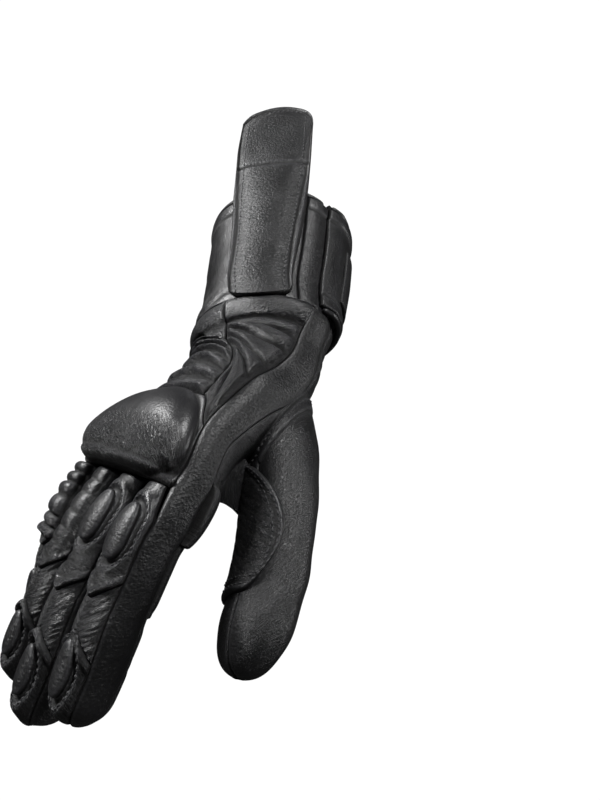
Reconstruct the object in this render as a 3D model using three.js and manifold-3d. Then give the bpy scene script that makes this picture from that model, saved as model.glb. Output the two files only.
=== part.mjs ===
// A right-hand leather motorcycle glove with a long cuff, as it stands on a hand:
// the forearm is upright, the back of the hand faces -X, the thumb side faces -Y
// and the fingers point down. Lengths are in millimetres.
import * as THREE from "three";
import { mergeVertices } from "three/addons/utils/BufferGeometryUtils.js";
import Module from "manifold-3d";

const wasm = await Module();
wasm.setup();

// Driving sizes of the cuff and the hand
const cuffLength = 95;
const cuffWidth = 80;
const cuffDepth = 75;
const wristWidth = 70;
const wristDepth = 50;
const handLength = 113;
const palmDepth = 40;
const rootDepth = 31;
const fingerReach = 16;

// Leather, fabric and seams
const wall = 1.8;
const fabricWall = 1.2;
const seamGap = 0.6;
const layerGap = 0.45;

// Posture, in degrees: the wrist is bent back and towards the little finger
const wristBack = 37;
const wristOutward = 24;
const knuckleBend = 25;

// Fingers, from the thumb side. Lean is towards the thumb; the bends are where each joint ends.
const fingers = [
  { name: "index", width: 24.5, depth: 26.5, length: 82, lean: -3, first: 15, second: 20, third: 15 },
  { name: "middle", width: 24, depth: 27, length: 94, lean: -4.5, first: 13, second: 21, third: 16 },
  { name: "ring", width: 22.5, depth: 26, length: 85, lean: -6.5, first: 13, second: 21, third: 16 },
  { name: "little", width: 20.5, depth: 23, length: 60, lean: -8, first: 24, second: 32, third: 32 },
];
const palmWidth = fingers.reduce((sum, finger) => sum + finger.width, 0);

// Thumb
const thumbLength = 155;
const thumbWidth = 30.5;
const thumbDepth = 32.5;
const thumbRootDown = 0;
const thumbRootSide = 25.5;
const thumbRootPalm = 0.5;
const thumbSpread = 45.5;
const thumbAside = 15.5;
const thumbCurl = 19.5;

// Armour and padding
const guardHeight = 13;
const pleatHeight = 2.6;
const pleatCount = 5;
const ovalLength = 22;
const ovalWidth = 11.5;
const ovalHeight = 2.6;
const ridgeCount = 4;
const ridgeHeight = 2.4;
const foldHeight = 1.6;
const foldCount = 3;

// Cuff fittings
const strapLength = 160;
const strapWidth = 45;
const strapTaper = 0.22;
const strapThick = 3;
const strapAway = 7;
const pipingRadius = 1.7;
const flapStandOff = 2.2;
const gussetRise = 12;
const patchThick = 1.6;

const fullTurn = 360;
const degree = (2 * Math.PI) / fullTurn;
const turnAt = (degrees) => degrees * degree;

// Seam lines of the hand, as turns round the sleeve: 0 is the thumb side, 90 the back of the hand
// and 180 the little finger side.
const bandBackTurn = 32;
const bandPalmTurn = -17;
const pleatTurn = 58;
const outerBackTurn = 150;
const outerPalmTurn = 214;

// A frame holds three unit directions: out towards the fingertips, back, and side towards the thumb.
function turnedFrame(frame, bend, lean) {
  const out = frame.out.clone().multiplyScalar(Math.cos(bend)).addScaledVector(frame.back, -Math.sin(bend));
  const back = frame.back.clone().multiplyScalar(Math.cos(bend)).addScaledVector(frame.out, Math.sin(bend));
  const side = frame.side.clone().multiplyScalar(Math.cos(lean)).addScaledVector(out, -Math.sin(lean));
  out.multiplyScalar(Math.cos(lean)).addScaledVector(frame.side, Math.sin(lean));
  return { out, back, side };
}

const upright = {
  out: new THREE.Vector3(0, 0, -1),
  back: new THREE.Vector3(-1, 0, 0),
  side: new THREE.Vector3(0, -1, 0),
};

// A value between rows of a table, on a smooth curve that doesn't overshoot.
function smoothValue(rows, key, distance) {
  let i = 0;
  while (i < rows.length - 2 && distance > rows[i + 1].run) i += 1;
  const [a, b] = [rows[i], rows[i + 1]];
  const span = b.run - a.run;
  const t = THREE.MathUtils.clamp((distance - a.run) / span, 0, 1);
  const slope = (j) => {
    if (j <= 0 || j >= rows.length - 1) return 0;
    const before = (rows[j][key] - rows[j - 1][key]) / (rows[j].run - rows[j - 1].run);
    const after = (rows[j + 1][key] - rows[j][key]) / (rows[j + 1].run - rows[j].run);
    return before * after <= 0 ? 0 : (2 * before * after) / (before + after);
  };
  const rise = b[key] - a[key];
  const [m0, m1] = [slope(i) * span, slope(i + 1) * span];
  return a[key] + m0 * t + (3 * rise - 2 * m0 - m1) * t * t + (m0 + m1 - 2 * rise) * t * t * t;
}

// A tube of leather along a bent spine. Its rows hold run, the distance along the spine, bend and lean,
// and the section: half its width, its height to the back, its depth to the palm, and how square it is.
class Sleeve {
  constructor(start, frame, rows, tip = 0) {
    this.rows = rows;
    this.tip = tip;
    this.length = rows[rows.length - 1].run;
    this.steps = Math.max(8, Math.round(this.length));
    this.spine = [start.clone()];
    this.frames = [];
    for (let i = 0; i <= this.steps; i += 1) {
      const run = (i / this.steps) * this.length;
      this.frames.push(turnedFrame(frame, smoothValue(rows, "bend", run), smoothValue(rows, "lean", run)));
      if (i > 0) {
        const middle = this.frames[i].out.clone().add(this.frames[i - 1].out).normalize();
        this.spine.push(this.spine[i - 1].clone().addScaledVector(middle, this.length / this.steps));
      }
    }
  }

  station(run) {
    const place = THREE.MathUtils.clamp((run / this.length) * this.steps, 0, this.steps);
    const i = Math.min(Math.floor(place), this.steps - 1);
    const t = place - i;
    const mixed = (name) => this.frames[i][name].clone().lerp(this.frames[i + 1][name], t).normalize();
    const at = this.spine[i].clone().lerp(this.spine[i + 1], t);
    const frame = { out: mixed("out"), back: mixed("back"), side: mixed("side") };
    at.addScaledVector(frame.out, run - THREE.MathUtils.clamp(run, 0, this.length));
    return { at, ...frame };
  }

  // A point of the skin, lifted off it. A closed fingertip is a rounded end of length tip, lifted too.
  point(run, turn, lift) {
    const tipStart = this.length - this.tip;
    let [place, shrink] = [run, 1];
    if (this.tip > 0 && run > tipStart) {
      const share = Math.min((run - tipStart) / this.tip, 1);
      place = tipStart + share * (this.tip + lift);
      shrink = Math.sqrt(Math.max(0, 1 - share ** 2.4));
    }
    const { at, back, side } = this.station(place);
    const size = (key) => smoothValue(this.rows, key, run);
    const power = 2 / size("square");
    const [c, s] = [Math.cos(turn), Math.sin(turn)];
    const rise = s > 0 ? size("back") : size("palm");
    at.addScaledVector(side, (size("half") + lift) * shrink * Math.sign(c) * Math.abs(c) ** power);
    return at.addScaledVector(back, (rise + lift) * shrink * Math.sign(s) * Math.abs(s) ** power);
  }

  // True where a point lies inside the skin, with the skin lifted.
  holds(point, lift) {
    let [nearest, best] = [0, Infinity];
    for (let i = 0; i <= this.steps; i += 1) {
      const far = point.distanceToSquared(this.spine[i]);
      if (far < best) [nearest, best] = [i, far];
    }
    const run = (nearest / this.steps) * this.length;
    const frame = this.frames[nearest];
    const offset = point.clone().sub(this.spine[nearest]);
    const [across, up] = [offset.dot(frame.side), offset.dot(frame.back)];
    const size = (key) => smoothValue(this.rows, key, run);
    const rise = up > 0 ? size("back") : size("palm");
    const n = size("square");
    return Math.abs(across / (size("half") + lift)) ** n + Math.abs(up / (rise + lift)) ** n < 1;
  }
}

// Places from one value to another, in equal steps.
function spread(from, to, count) {
  return Array.from({ length: count + 1 }, (_, i) => from + ((to - from) * i) / count);
}

// A wall on a sleeve, as one closed mesh. Lines run round it, each a distance or a function of the turn;
// turns are its divisions round the sleeve. Solid(row, column) says which cells have leather, and
// outer and inner give the lift of its two faces. A round wall joins its last turn to its first, and
// a wall with an end is closed over the fingertip.
function wallMesh(sleeve, { lines, turns, outer, inner, solid = () => true, round = false, end = false }) {
  const columns = turns.length;
  const cells = round ? columns : columns - 1;
  const positions = [];
  const index = [];
  const runAt = (line, turn) => (typeof line === "function" ? line(turn) : line);
  const corner = (face, row, column) => (face * lines.length + row) * columns + (column % columns);
  [inner, outer].forEach((lift) => {
    lines.forEach((line) => {
      turns.forEach((turn) => {
        const run = runAt(line, turn);
        positions.push(...sleeve.point(run, turn, lift(run, turn)).toArray());
      });
    });
  });
  const quad = (a, b, c, d) => index.push(a, b, c, a, c, d);
  const filled = (row, column) => {
    if (row < 0 || row >= lines.length - 1) return false;
    if (!round && (column < 0 || column >= cells)) return false;
    return solid(row, (column + cells) % cells);
  };
  const lastRow = lines.length - 1;
  for (let row = 0; row < lastRow; row += 1) {
    for (let column = 0; column < cells; column += 1) {
      if (!filled(row, column)) continue;
      const [a, b] = [corner(1, row, column), corner(1, row, column + 1)];
      const [c, d] = [corner(1, row + 1, column + 1), corner(1, row + 1, column)];
      const [e, f] = [corner(0, row, column), corner(0, row, column + 1)];
      const [g, h] = [corner(0, row + 1, column + 1), corner(0, row + 1, column)];
      quad(a, b, c, d);
      quad(h, g, f, e);
      if (!filled(row - 1, column)) quad(e, f, b, a);
      if (!filled(row + 1, column) && !(end && row === lastRow - 1)) quad(d, c, g, h);
      if (!filled(row, column - 1)) quad(e, a, d, h);
      if (!filled(row, column + 1)) quad(b, f, g, c);
    }
  }
  if (end) {
    [inner, outer].forEach((lift, face) => {
      const pole = positions.length / 3;
      positions.push(...sleeve.point(sleeve.length, 0, lift(sleeve.length, 0)).toArray());
      for (let column = 0; column < cells; column += 1) {
        const [a, b] = [corner(face, lastRow, column), corner(face, lastRow, column + 1)];
        index.push(...(face ? [a, b, pole] : [b, a, pole]));
      }
    });
  }
  return closedMesh(positions, index);
}

// An unused corner leaves with the merge, and the faces are turned outwards by the signed volume.
function closedMesh(positions, index) {
  const corner = (i) => new THREE.Vector3().fromArray(positions, 3 * index[i]);
  let volume = 0;
  for (let i = 0; i < index.length; i += 3) {
    volume += corner(i).dot(corner(i + 1).cross(corner(i + 2)));
  }
  if (volume < 0) index.reverse();
  const geometry = new THREE.BufferGeometry();
  geometry.setAttribute("position", new THREE.Float32BufferAttribute(positions, 3));
  geometry.setIndex(index);
  const loose = geometry.toNonIndexed();
  loose.computeVertexNormals();
  return loose;
}

// The solid inside a sleeve's skin, with flat ends.
function coreMesh(sleeve, lines, turns, lift) {
  const columns = turns.length;
  const lastRow = lines.length - 1;
  const positions = [];
  const index = [];
  lines.forEach((run) => turns.forEach((turn) => positions.push(...sleeve.point(run, turn, lift).toArray())));
  positions.push(...sleeve.station(lines[0]).at.toArray());
  positions.push(...sleeve.station(lines[lastRow]).at.toArray());
  const corner = (row, column) => row * columns + (column % columns);
  for (let column = 0; column < columns; column += 1) {
    for (let row = 0; row < lastRow; row += 1) {
      const [a, b] = [corner(row, column), corner(row, column + 1)];
      const [c, d] = [corner(row + 1, column + 1), corner(row + 1, column)];
      index.push(a, b, c, a, c, d);
    }
    index.push(corner(0, column + 1), corner(0, column), columns * lines.length);
    index.push(corner(lastRow, column), corner(lastRow, column + 1), columns * lines.length + 1);
  }
  return closedMesh(positions, index);
}

function solidOf(geometry) {
  const bare = new THREE.BufferGeometry();
  bare.setAttribute("position", geometry.getAttribute("position"));
  const merged = mergeVertices(bare, 1e-5);
  const vertProperties = new Float32Array(merged.getAttribute("position").array);
  const triVerts = new Uint32Array(merged.getIndex().array);
  return new wasm.Manifold(new wasm.Mesh({ numProp: 3, vertProperties, triVerts }));
}

function cutAway(geometry, tool) {
  const { vertProperties, triVerts } = solidOf(geometry).subtract(solidOf(tool)).getMesh();
  const left = new THREE.BufferGeometry();
  left.setAttribute("position", new THREE.BufferAttribute(vertProperties, 3));
  left.setIndex(new THREE.BufferAttribute(triVerts, 1));
  return left;
}

// A pad with an oval outline on a sleeve: flat on the leather below, domed above.
function padMesh(sleeve, { run, turn, length, width, base, height, rings = 2, sectors = 12 }) {
  const positions = [];
  const index = [];
  const reach = sleeve.point(run, turn, base).distanceTo(sleeve.point(run, turn + turnAt(10), base));
  const turnPerMm = turnAt(10) / reach;
  const place = (share, angle, lift) => {
    const [c, s] = [Math.cos(angle), Math.sin(angle)];
    const along = (length / 2) * share * c;
    const across = (width / 2) * share * s;
    return sleeve.point(run + along, turn + across * turnPerMm, lift);
  };
  const rimHeight = 0.35 * height;
  [0, 1].forEach((top) => {
    for (let ring = 1; ring <= rings; ring += 1) {
      const share = ring / rings;
      const dome = rimHeight + (height - rimHeight) * Math.sqrt(1 - (0.98 * share) ** 2);
      for (let k = 0; k < sectors; k += 1) {
        const angle = (2 * Math.PI * k) / sectors;
        positions.push(...place(share, angle, base + (top ? dome : 0)).toArray());
      }
    }
    positions.push(...place(0, 0, base + (top ? height : 0)).toArray());
  });
  const layer = rings * sectors + 1;
  const corner = (top, ring, k) => top * layer + (ring - 1) * sectors + (k % sectors);
  for (let k = 0; k < sectors; k += 1) {
    for (let ring = 1; ring < rings; ring += 1) {
      const [a, b] = [corner(1, ring, k), corner(1, ring, k + 1)];
      const [c, d] = [corner(1, ring + 1, k + 1), corner(1, ring + 1, k)];
      index.push(a, b, c, a, c, d);
      const [e, f, g, h] = [a, b, c, d].map((i) => i - layer);
      index.push(g, f, e, h, g, e);
    }
    const [a, b] = [corner(1, rings, k), corner(1, rings, k + 1)];
    index.push(a, b, b - layer, a, b - layer, a - layer);
    index.push(corner(1, 1, k + 1), corner(1, 1, k), 2 * layer - 1);
    index.push(corner(0, 1, k), corner(0, 1, k + 1), layer - 1);
  }
  return closedMesh(positions, index);
}

// A round cord through points of a sleeve's skin.
function cordMesh(points, radius, sides, steps) {
  const outline = new THREE.Shape(
    spread(0, 2 * Math.PI, sides)
      .slice(0, sides)
      .map((angle) => new THREE.Vector2(radius * Math.cos(angle), radius * Math.sin(angle))),
  );
  const path = new THREE.CatmullRomCurve3(points);
  return new THREE.ExtrudeGeometry(outline, { steps, bevelEnabled: false, extrudePath: path });
}

const materials = {
  leather: new THREE.MeshStandardMaterial({ color: 0x1c1c1d, roughness: 0.5, metalness: 0 }),
  softLeather: new THREE.MeshStandardMaterial({ color: 0x222224, roughness: 0.45, metalness: 0 }),
  grainLeather: new THREE.MeshStandardMaterial({ color: 0x161617, roughness: 0.6, metalness: 0 }),
  pad: new THREE.MeshStandardMaterial({ color: 0x2a2a2c, roughness: 0.38, metalness: 0 }),
  fabric: new THREE.MeshStandardMaterial({ color: 0x0d0d0f, roughness: 0.9, metalness: 0 }),
  piping: new THREE.MeshStandardMaterial({ color: 0x262628, roughness: 0.42, metalness: 0 }),
};

const glove = new THREE.Group();
function addPiece(name, geometry, material) {
  const mesh = new THREE.Mesh(geometry, materials[material]);
  mesh.name = name;
  glove.add(mesh);
}

const flat = (lift) => () => lift;
const halfGap = seamGap / 2;

// The gap of a seam that runs along a sleeve, as a turn.
function gapTurn(sleeve, run, turn) {
  const step = turnAt(4);
  const reach = sleeve.point(run, turn, 0).distanceTo(sleeve.point(run, turn + step, 0));
  return (halfGap / reach) * step;
}

const bodyRun = (share) => cuffLength + share * handLength;

// Body of the glove: one spine from the cuff's rim to the finger roots. A row holds run, the shares of
// the wrist's and the knuckles' bend, half the width, the height to the back and to the palm, and how square.
const bodyRows = [
  [0, 0, 0, cuffWidth / 2, cuffDepth / 2, cuffDepth / 2, 2.1],
  [0.36 * cuffLength, 0, 0, 0.98 * (cuffWidth / 2), 0.98 * (cuffDepth / 2), 0.98 * (cuffDepth / 2), 2.1],
  [0.62 * cuffLength, 0, 0, 0.94 * (cuffWidth / 2), 0.98 * (cuffDepth / 2), 0.9 * (cuffDepth / 2), 2.1],
  [0.82 * cuffLength, 0, 0, 1.12 * (wristWidth / 2), 1.38 * (wristDepth / 2), 1.12 * (wristDepth / 2), 2.15],
  [cuffLength, 0.1, 0, wristWidth / 2, 1.34 * (wristDepth / 2), 0.95 * (wristDepth / 2), 2.2],
  [bodyRun(0.14), 0.55, 0, wristWidth / 2, 1.6 * (palmDepth / 2), 1.25 * (palmDepth / 2), 2.25],
  [bodyRun(0.3), 1, 0, 0.88 * (palmWidth / 2), 1.38 * (palmDepth / 2), 1.35 * (palmDepth / 2), 2.4],
  [bodyRun(0.56), 1, 0.2, 0.95 * (palmWidth / 2), 0.95 * (palmDepth / 2), 1.15 * (palmDepth / 2), 2.6],
  [bodyRun(0.8), 1, 1, palmWidth / 2, rootDepth / 2, 1.12 * (rootDepth / 2), 3],
  [bodyRun(1), 1, 1, palmWidth / 2, rootDepth / 2, rootDepth / 2, 3.4],
].map(([run, wrist, knuckle, half, back, palm, square]) => ({
  run,
  bend: turnAt(knuckleBend * knuckle - wristBack * wrist),
  lean: turnAt(-wristOutward * wrist),
  half,
  back,
  palm,
  square,
}));
const body = new Sleeve(new THREE.Vector3(0, 0, cuffLength), upright, bodyRows);
const roots = body.station(body.length);

// The band's back seam lies nearer the thumb at the wrist, and the pleats' seam nearer the back. A shift
// is in degrees.
const seamShifts = [
  { run: 0.8 * cuffLength, band: -16, pleats: 30 },
  { run: bodyRun(0.1), band: -12, pleats: 26 },
  { run: bodyRun(0.36), band: -6, pleats: -3 },
  { run: bodyRun(0.57), band: -2, pleats: 0 },
  { run: bodyRun(0.85), band: 0, pleats: 0 },
];
const skinSurface = {
  point(run, turn, lift) {
    if (run < seamShifts[0].run) return body.point(run, turn, lift);
    const degrees = turn / degree;
    const band = smoothValue(seamShifts, "band", run);
    const pleats = smoothValue(seamShifts, "pleats", run);
    const seams = [
      { run: bandPalmTurn, shift: 0 },
      { run: bandBackTurn, shift: band },
      { run: pleatTurn, shift: pleats },
      { run: outerBackTurn, shift: 0 },
    ];
    const last = Math.max(1, seams.findIndex((seam) => seam.run >= degrees));
    const [from, to] = [seams[last - 1], seams[last]];
    const share = THREE.MathUtils.clamp((degrees - from.run) / (to.run - from.run), 0, 1);
    const shift = degrees >= outerBackTurn ? 0 : from.shift + (to.shift - from.shift) * share;
    return body.point(run, turn + turnAt(shift), lift);
  },
};

// Lifts of the leather on the back of the hand
const bump = (x) => (Math.abs(x) < 1 ? Math.cos((Math.PI / 2) * x) ** 2 : 0);
const guardMiddle = bodyRun(0.72);
const guardToWrist = 0.24 * handLength;
const guardToFingers = 0.155 * handLength;
const guardTurn = 96;
const guardHalfTurn = 60;
const guardLift = (run, turn) => {
  const along = (run - guardMiddle) / (run < guardMiddle ? guardToWrist : guardToFingers);
  const across = (turn / degree - guardTurn) / guardHalfTurn;
  return guardHeight * Math.max(0, 1 - along ** 2 - across ** 2) ** 0.75;
};
const ridged = (share, count) => Math.abs(Math.sin(Math.PI * count * share)) ** 0.7;

// Panels of the hand. Neighbours share their divisions along a common edge, so that the edges run alike.
const wristTop = 0.8 * cuffLength;
const pleatStart = (turn) => {
  const t = THREE.MathUtils.clamp((turn / degree - pleatTurn) / 45, 0, 1);
  return bodyRun(0.13 - 0.18 * t * t * (3 - 2 * t));
};
const guardEnd = body.length - fingerReach;
const guardEdge = (turn) => {
  const t = THREE.MathUtils.clamp((turn / degree - bandBackTurn) / (pleatTurn - bandBackTurn), 0, 1);
  return bodyRun(0.61 - 0.11 * t * t * (3 - 2 * t));
};

const betweenLines = (first, last, count) =>
  spread(0, 1, count).map((t) => (turn) => {
    const [a, b] = [first, last].map((line) => (typeof line === "function" ? line(turn) : line));
    const [start, stop] = [a + halfGap, b - halfGap];
    return start + (stop - start) * t;
  });

// Turns given in degrees, with half a seam's gap left at both ends.
function seamTurns(sleeve, run, degrees) {
  const turns = degrees.map(turnAt);
  turns[0] += gapTurn(sleeve, run, turns[0]);
  turns[turns.length - 1] -= gapTurn(sleeve, run, turns[turns.length - 1]);
  return turns;
}

function bodyWall(degrees, lines, outer = flat(0), inner = flat(-wall)) {
  const turns = seamTurns(body, bodyRun(0.2), degrees);
  return wallMesh(skinSurface, { lines, turns, outer, inner });
}

const sideTurns = spread(bandBackTurn, pleatTurn, 4);
const pleatTurns = spread(pleatTurn, outerBackTurn, 8);
const guardTurns = [...sideTurns, ...pleatTurns.slice(1)];
addPiece("knuckle_guard", bodyWall(guardTurns, betweenLines(guardEdge, guardEnd, 8), guardLift), "pad");

const pleatLift = (run, turn) => {
  const share = (run - pleatStart(turn)) / (guardEdge(turn) - pleatStart(turn));
  return pleatHeight * ridged(THREE.MathUtils.clamp(share, 0, 1), pleatCount);
};
const pleatLines = betweenLines(pleatStart, guardEdge, 4 * pleatCount);
addPiece("wrist_pleats", bodyWall(pleatTurns, pleatLines, pleatLift), "softLeather");

const foldLift = (run, turn) => {
  const share = THREE.MathUtils.clamp((run - wristTop) / (bodyRun(0.5) - wristTop), 0, 1);
  const across = (turn / degree - bandBackTurn) / (pleatTurn - bandBackTurn);
  const wave = 1 - Math.cos(2 * Math.PI * foldCount * (share + 0.12 * across));
  return foldHeight * bump(2 * across - 1) * bump(2 * share - 1) * wave;
};
addPiece("wrist_side", bodyWall(sideTurns, betweenLines(wristTop, guardEdge, 14), foldLift), "softLeather");
addPiece("wrist_back", bodyWall(pleatTurns, betweenLines(wristTop, pleatStart, 3)), "leather");

const wristLines = betweenLines(wristTop, bodyRun(0.5), 12);
const handLines = [...wristLines, ...betweenLines(bodyRun(0.5), body.length, 5).slice(1)];
addPiece("outer_side", bodyWall(spread(outerBackTurn, outerPalmTurn, 3), handLines), "leather");

// Thumb sleeve, which starts inside the hand and comes out of its thumb side
const handFrame = turnedFrame(upright, turnAt(-wristBack), turnAt(-wristOutward));
const thumbStart = body
  .station(cuffLength)
  .at.addScaledVector(handFrame.out, thumbRootDown)
  .addScaledVector(handFrame.side, thumbRootSide)
  .addScaledVector(handFrame.back, -thumbRootPalm);
const thumbOut = turnedFrame(handFrame, turnAt(thumbSpread), turnAt(thumbAside));
const thumbFrame = {
  out: thumbOut.out,
  back: thumbOut.side,
  side: new THREE.Vector3().crossVectors(thumbOut.side, thumbOut.out),
};
const thumbRows = [
  [0, 0, 0.5, 0.3, 0.6],
  [0.13, 0, 0.8, 0.45, 0.9],
  [0.3, 0, 1.14, 0.78, 1.12],
  [0.5, 0.1, 1.08, 1.0, 1.05],
  [0.7, 0.6, 1.0, 1.0, 1.0],
  [0.86, 1, 0.97, 0.96, 0.96],
  [1, 1, 0.9, 0.88, 0.88],
].map(([share, curl, half, back, palm]) => ({
  run: share * thumbLength,
  bend: 0,
  lean: turnAt(-thumbCurl * curl),
  half: half * (thumbWidth / 2),
  back: back * (thumbDepth / 2),
  palm: palm * (thumbDepth / 2),
  square: 2.2,
}));
const thumb = new Sleeve(thumbStart, thumbFrame, thumbRows, 0.16 * thumbLength);

// Where a line along the thumb, lifted off its skin, leaves the hand.
function thumbExit(turn, lift = 0) {
  const step = 1;
  const within = (run) => body.holds(thumb.point(run, turn, lift), layerGap);
  const last = spread(0, 0.75 * thumbLength, Math.round(0.75 * thumbLength)).filter(within).pop() ?? 0;
  let [low, high] = [last, last + step];
  for (let i = 0; i < 10; i += 1) {
    const middle = (low + high) / 2;
    if (within(middle)) low = middle;
    else high = middle;
  }
  return high;
}

// The palm and the side band have an opening that the thumb's leather passes through.
const thumbHole = coreMesh(
  thumb,
  spread(0, 0.55 * thumbLength, 9),
  spread(0, 2 * Math.PI, 20).slice(0, 20),
  layerGap,
);
const palmTurns = spread(outerPalmTurn, bandPalmTurn + fullTurn, 9);
addPiece("palm_panel", cutAway(bodyWall(palmTurns, handLines), thumbHole), "leather");

// Thumb: the wide back panel, the palm-side panel that closes the tip, and the patch over the crotch
const thumbSeamTurn = 168;
const thumbOuterTurn = -24;
const thumbTipLine = thumbLength - 0.3 * thumb.tip;
const thumbRowCount = 8;
const thumbLines = spread(0, 1, thumbRowCount).map((t) => (turn) => {
  const start = thumbExit(turn) - 2 * wall;
  return start + (thumbTipLine - halfGap - start) * t;
});
const skin = { outer: flat(0), inner: flat(-wall) };
const thumbBackTurns = seamTurns(thumb, 0.6 * thumbLength, spread(thumbOuterTurn, thumbSeamTurn, 10));
addPiece("thumb_back", wallMesh(thumb, { lines: thumbLines, turns: thumbBackTurns, ...skin }), "leather");

// Turns right round a sleeve: the first ones are the panel's own, and the rest only close the tip.
function roundTurns(sleeve, run, panel, rest) {
  const turns = seamTurns(sleeve, run, panel);
  const [first, last] = [panel[0], panel[panel.length - 1]];
  return [...turns, ...spread(turnAt(last), turnAt(first + fullTurn), rest).slice(1, -1)];
}
const thumbFront = spread(thumbSeamTurn, thumbOuterTurn + fullTurn, 9);
const tipCap = (sleeve, tipLine) => [tipLine + halfGap, sleeve.length - 0.1 * sleeve.tip];
addPiece(
  "thumb_front",
  wallMesh(thumb, {
    lines: [...thumbLines, ...tipCap(thumb, thumbTipLine)],
    turns: roundTurns(thumb, 0.6 * thumbLength, thumbFront, 10),
    solid: (row, column) => column < thumbFront.length - 1 || row > thumbRowCount,
    round: true,
    end: true,
    ...skin,
  }),
  "leather",
);

// The patch starts at the crotch and widens over the thumb's back. Down is its share from start to end.
const patchLift = layerGap + patchThick;
const patchLast = 232;
const patchEnd = 0.8;
const patchSurface = {
  point(down, across, lift) {
    const first = 150 - 42 * Math.sin((Math.PI / 2) * Math.min(1, 1.5 * down));
    const turn = turnAt(first + (patchLast - first) * across);
    const start = thumbExit(turn, patchLift) + patchThick;
    const corner = 0.06 * Math.max(0, 1 - 4 * across) ** 2;
    const end = thumbLength * (patchEnd - 0.1 * across - corner);
    return thumb.point(start + (end - start) * down, turn, lift);
  },
};
const patchFaces = { outer: flat(patchLift), inner: flat(layerGap) };
const patchWall = wallMesh(patchSurface, { lines: spread(0, 1, 6), turns: spread(0, 1, 7), ...patchFaces });
addPiece("thumb_patch", patchWall, "softLeather");

// Fingers. A back panel is wider before the root, where it closes the crease between two fingers.
const fingerShape = [
  { run: 0, bend: 0, half: 1, back: 1, palm: 1 },
  { run: 0.12, bend: 1, half: 1, back: 1, palm: 1 },
  { run: 0.38, bend: 1, half: 1, back: 1, palm: 1 },
  { run: 0.52, bend: 2, half: 1.02, back: 1.03, palm: 1 },
  { run: 0.7, bend: 2, half: 0.97, back: 0.95, palm: 0.97 },
  { run: 0.85, bend: 3, half: 0.94, back: 0.92, palm: 0.94 },
  { run: 1, bend: 3, half: 0.88, back: 0.84, palm: 0.88 },
];
const backFirst = 38;
const backLast = 145;
const bandFirst = -34;
const upperChevron = 0.41;
const lowerChevron = 0.56;
const chevronDepth = 7;
const ribHeight = 1.1;
const ribCount = 3;
const ridgeShare = 0.34;
const indexRootTurn = 64;

function fingerSleeve(finger, place) {
  const bends = [0, finger.first, finger.second, finger.third];
  const rows = fingerShape.map((shape) => ({
    run: shape.run * finger.length,
    bend: turnAt(bends[shape.bend]),
    lean: turnAt(shape.run > 0 ? finger.lean : 0),
    half: shape.half * (finger.width / 2 - halfGap),
    back: shape.back * (finger.depth / 2),
    palm: shape.palm * (finger.depth / 2),
    square: 2.3,
  }));
  const start = roots.at.clone().addScaledVector(roots.side, palmWidth / 2 - place);
  return new Sleeve(start, roots, rows, 0.48 * finger.depth);
}

let place = 0;
const sleeves = {};
fingers.forEach((finger) => {
  sleeves[finger.name] = fingerSleeve(finger, place + finger.width / 2);
  place += finger.width;
});

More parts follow.
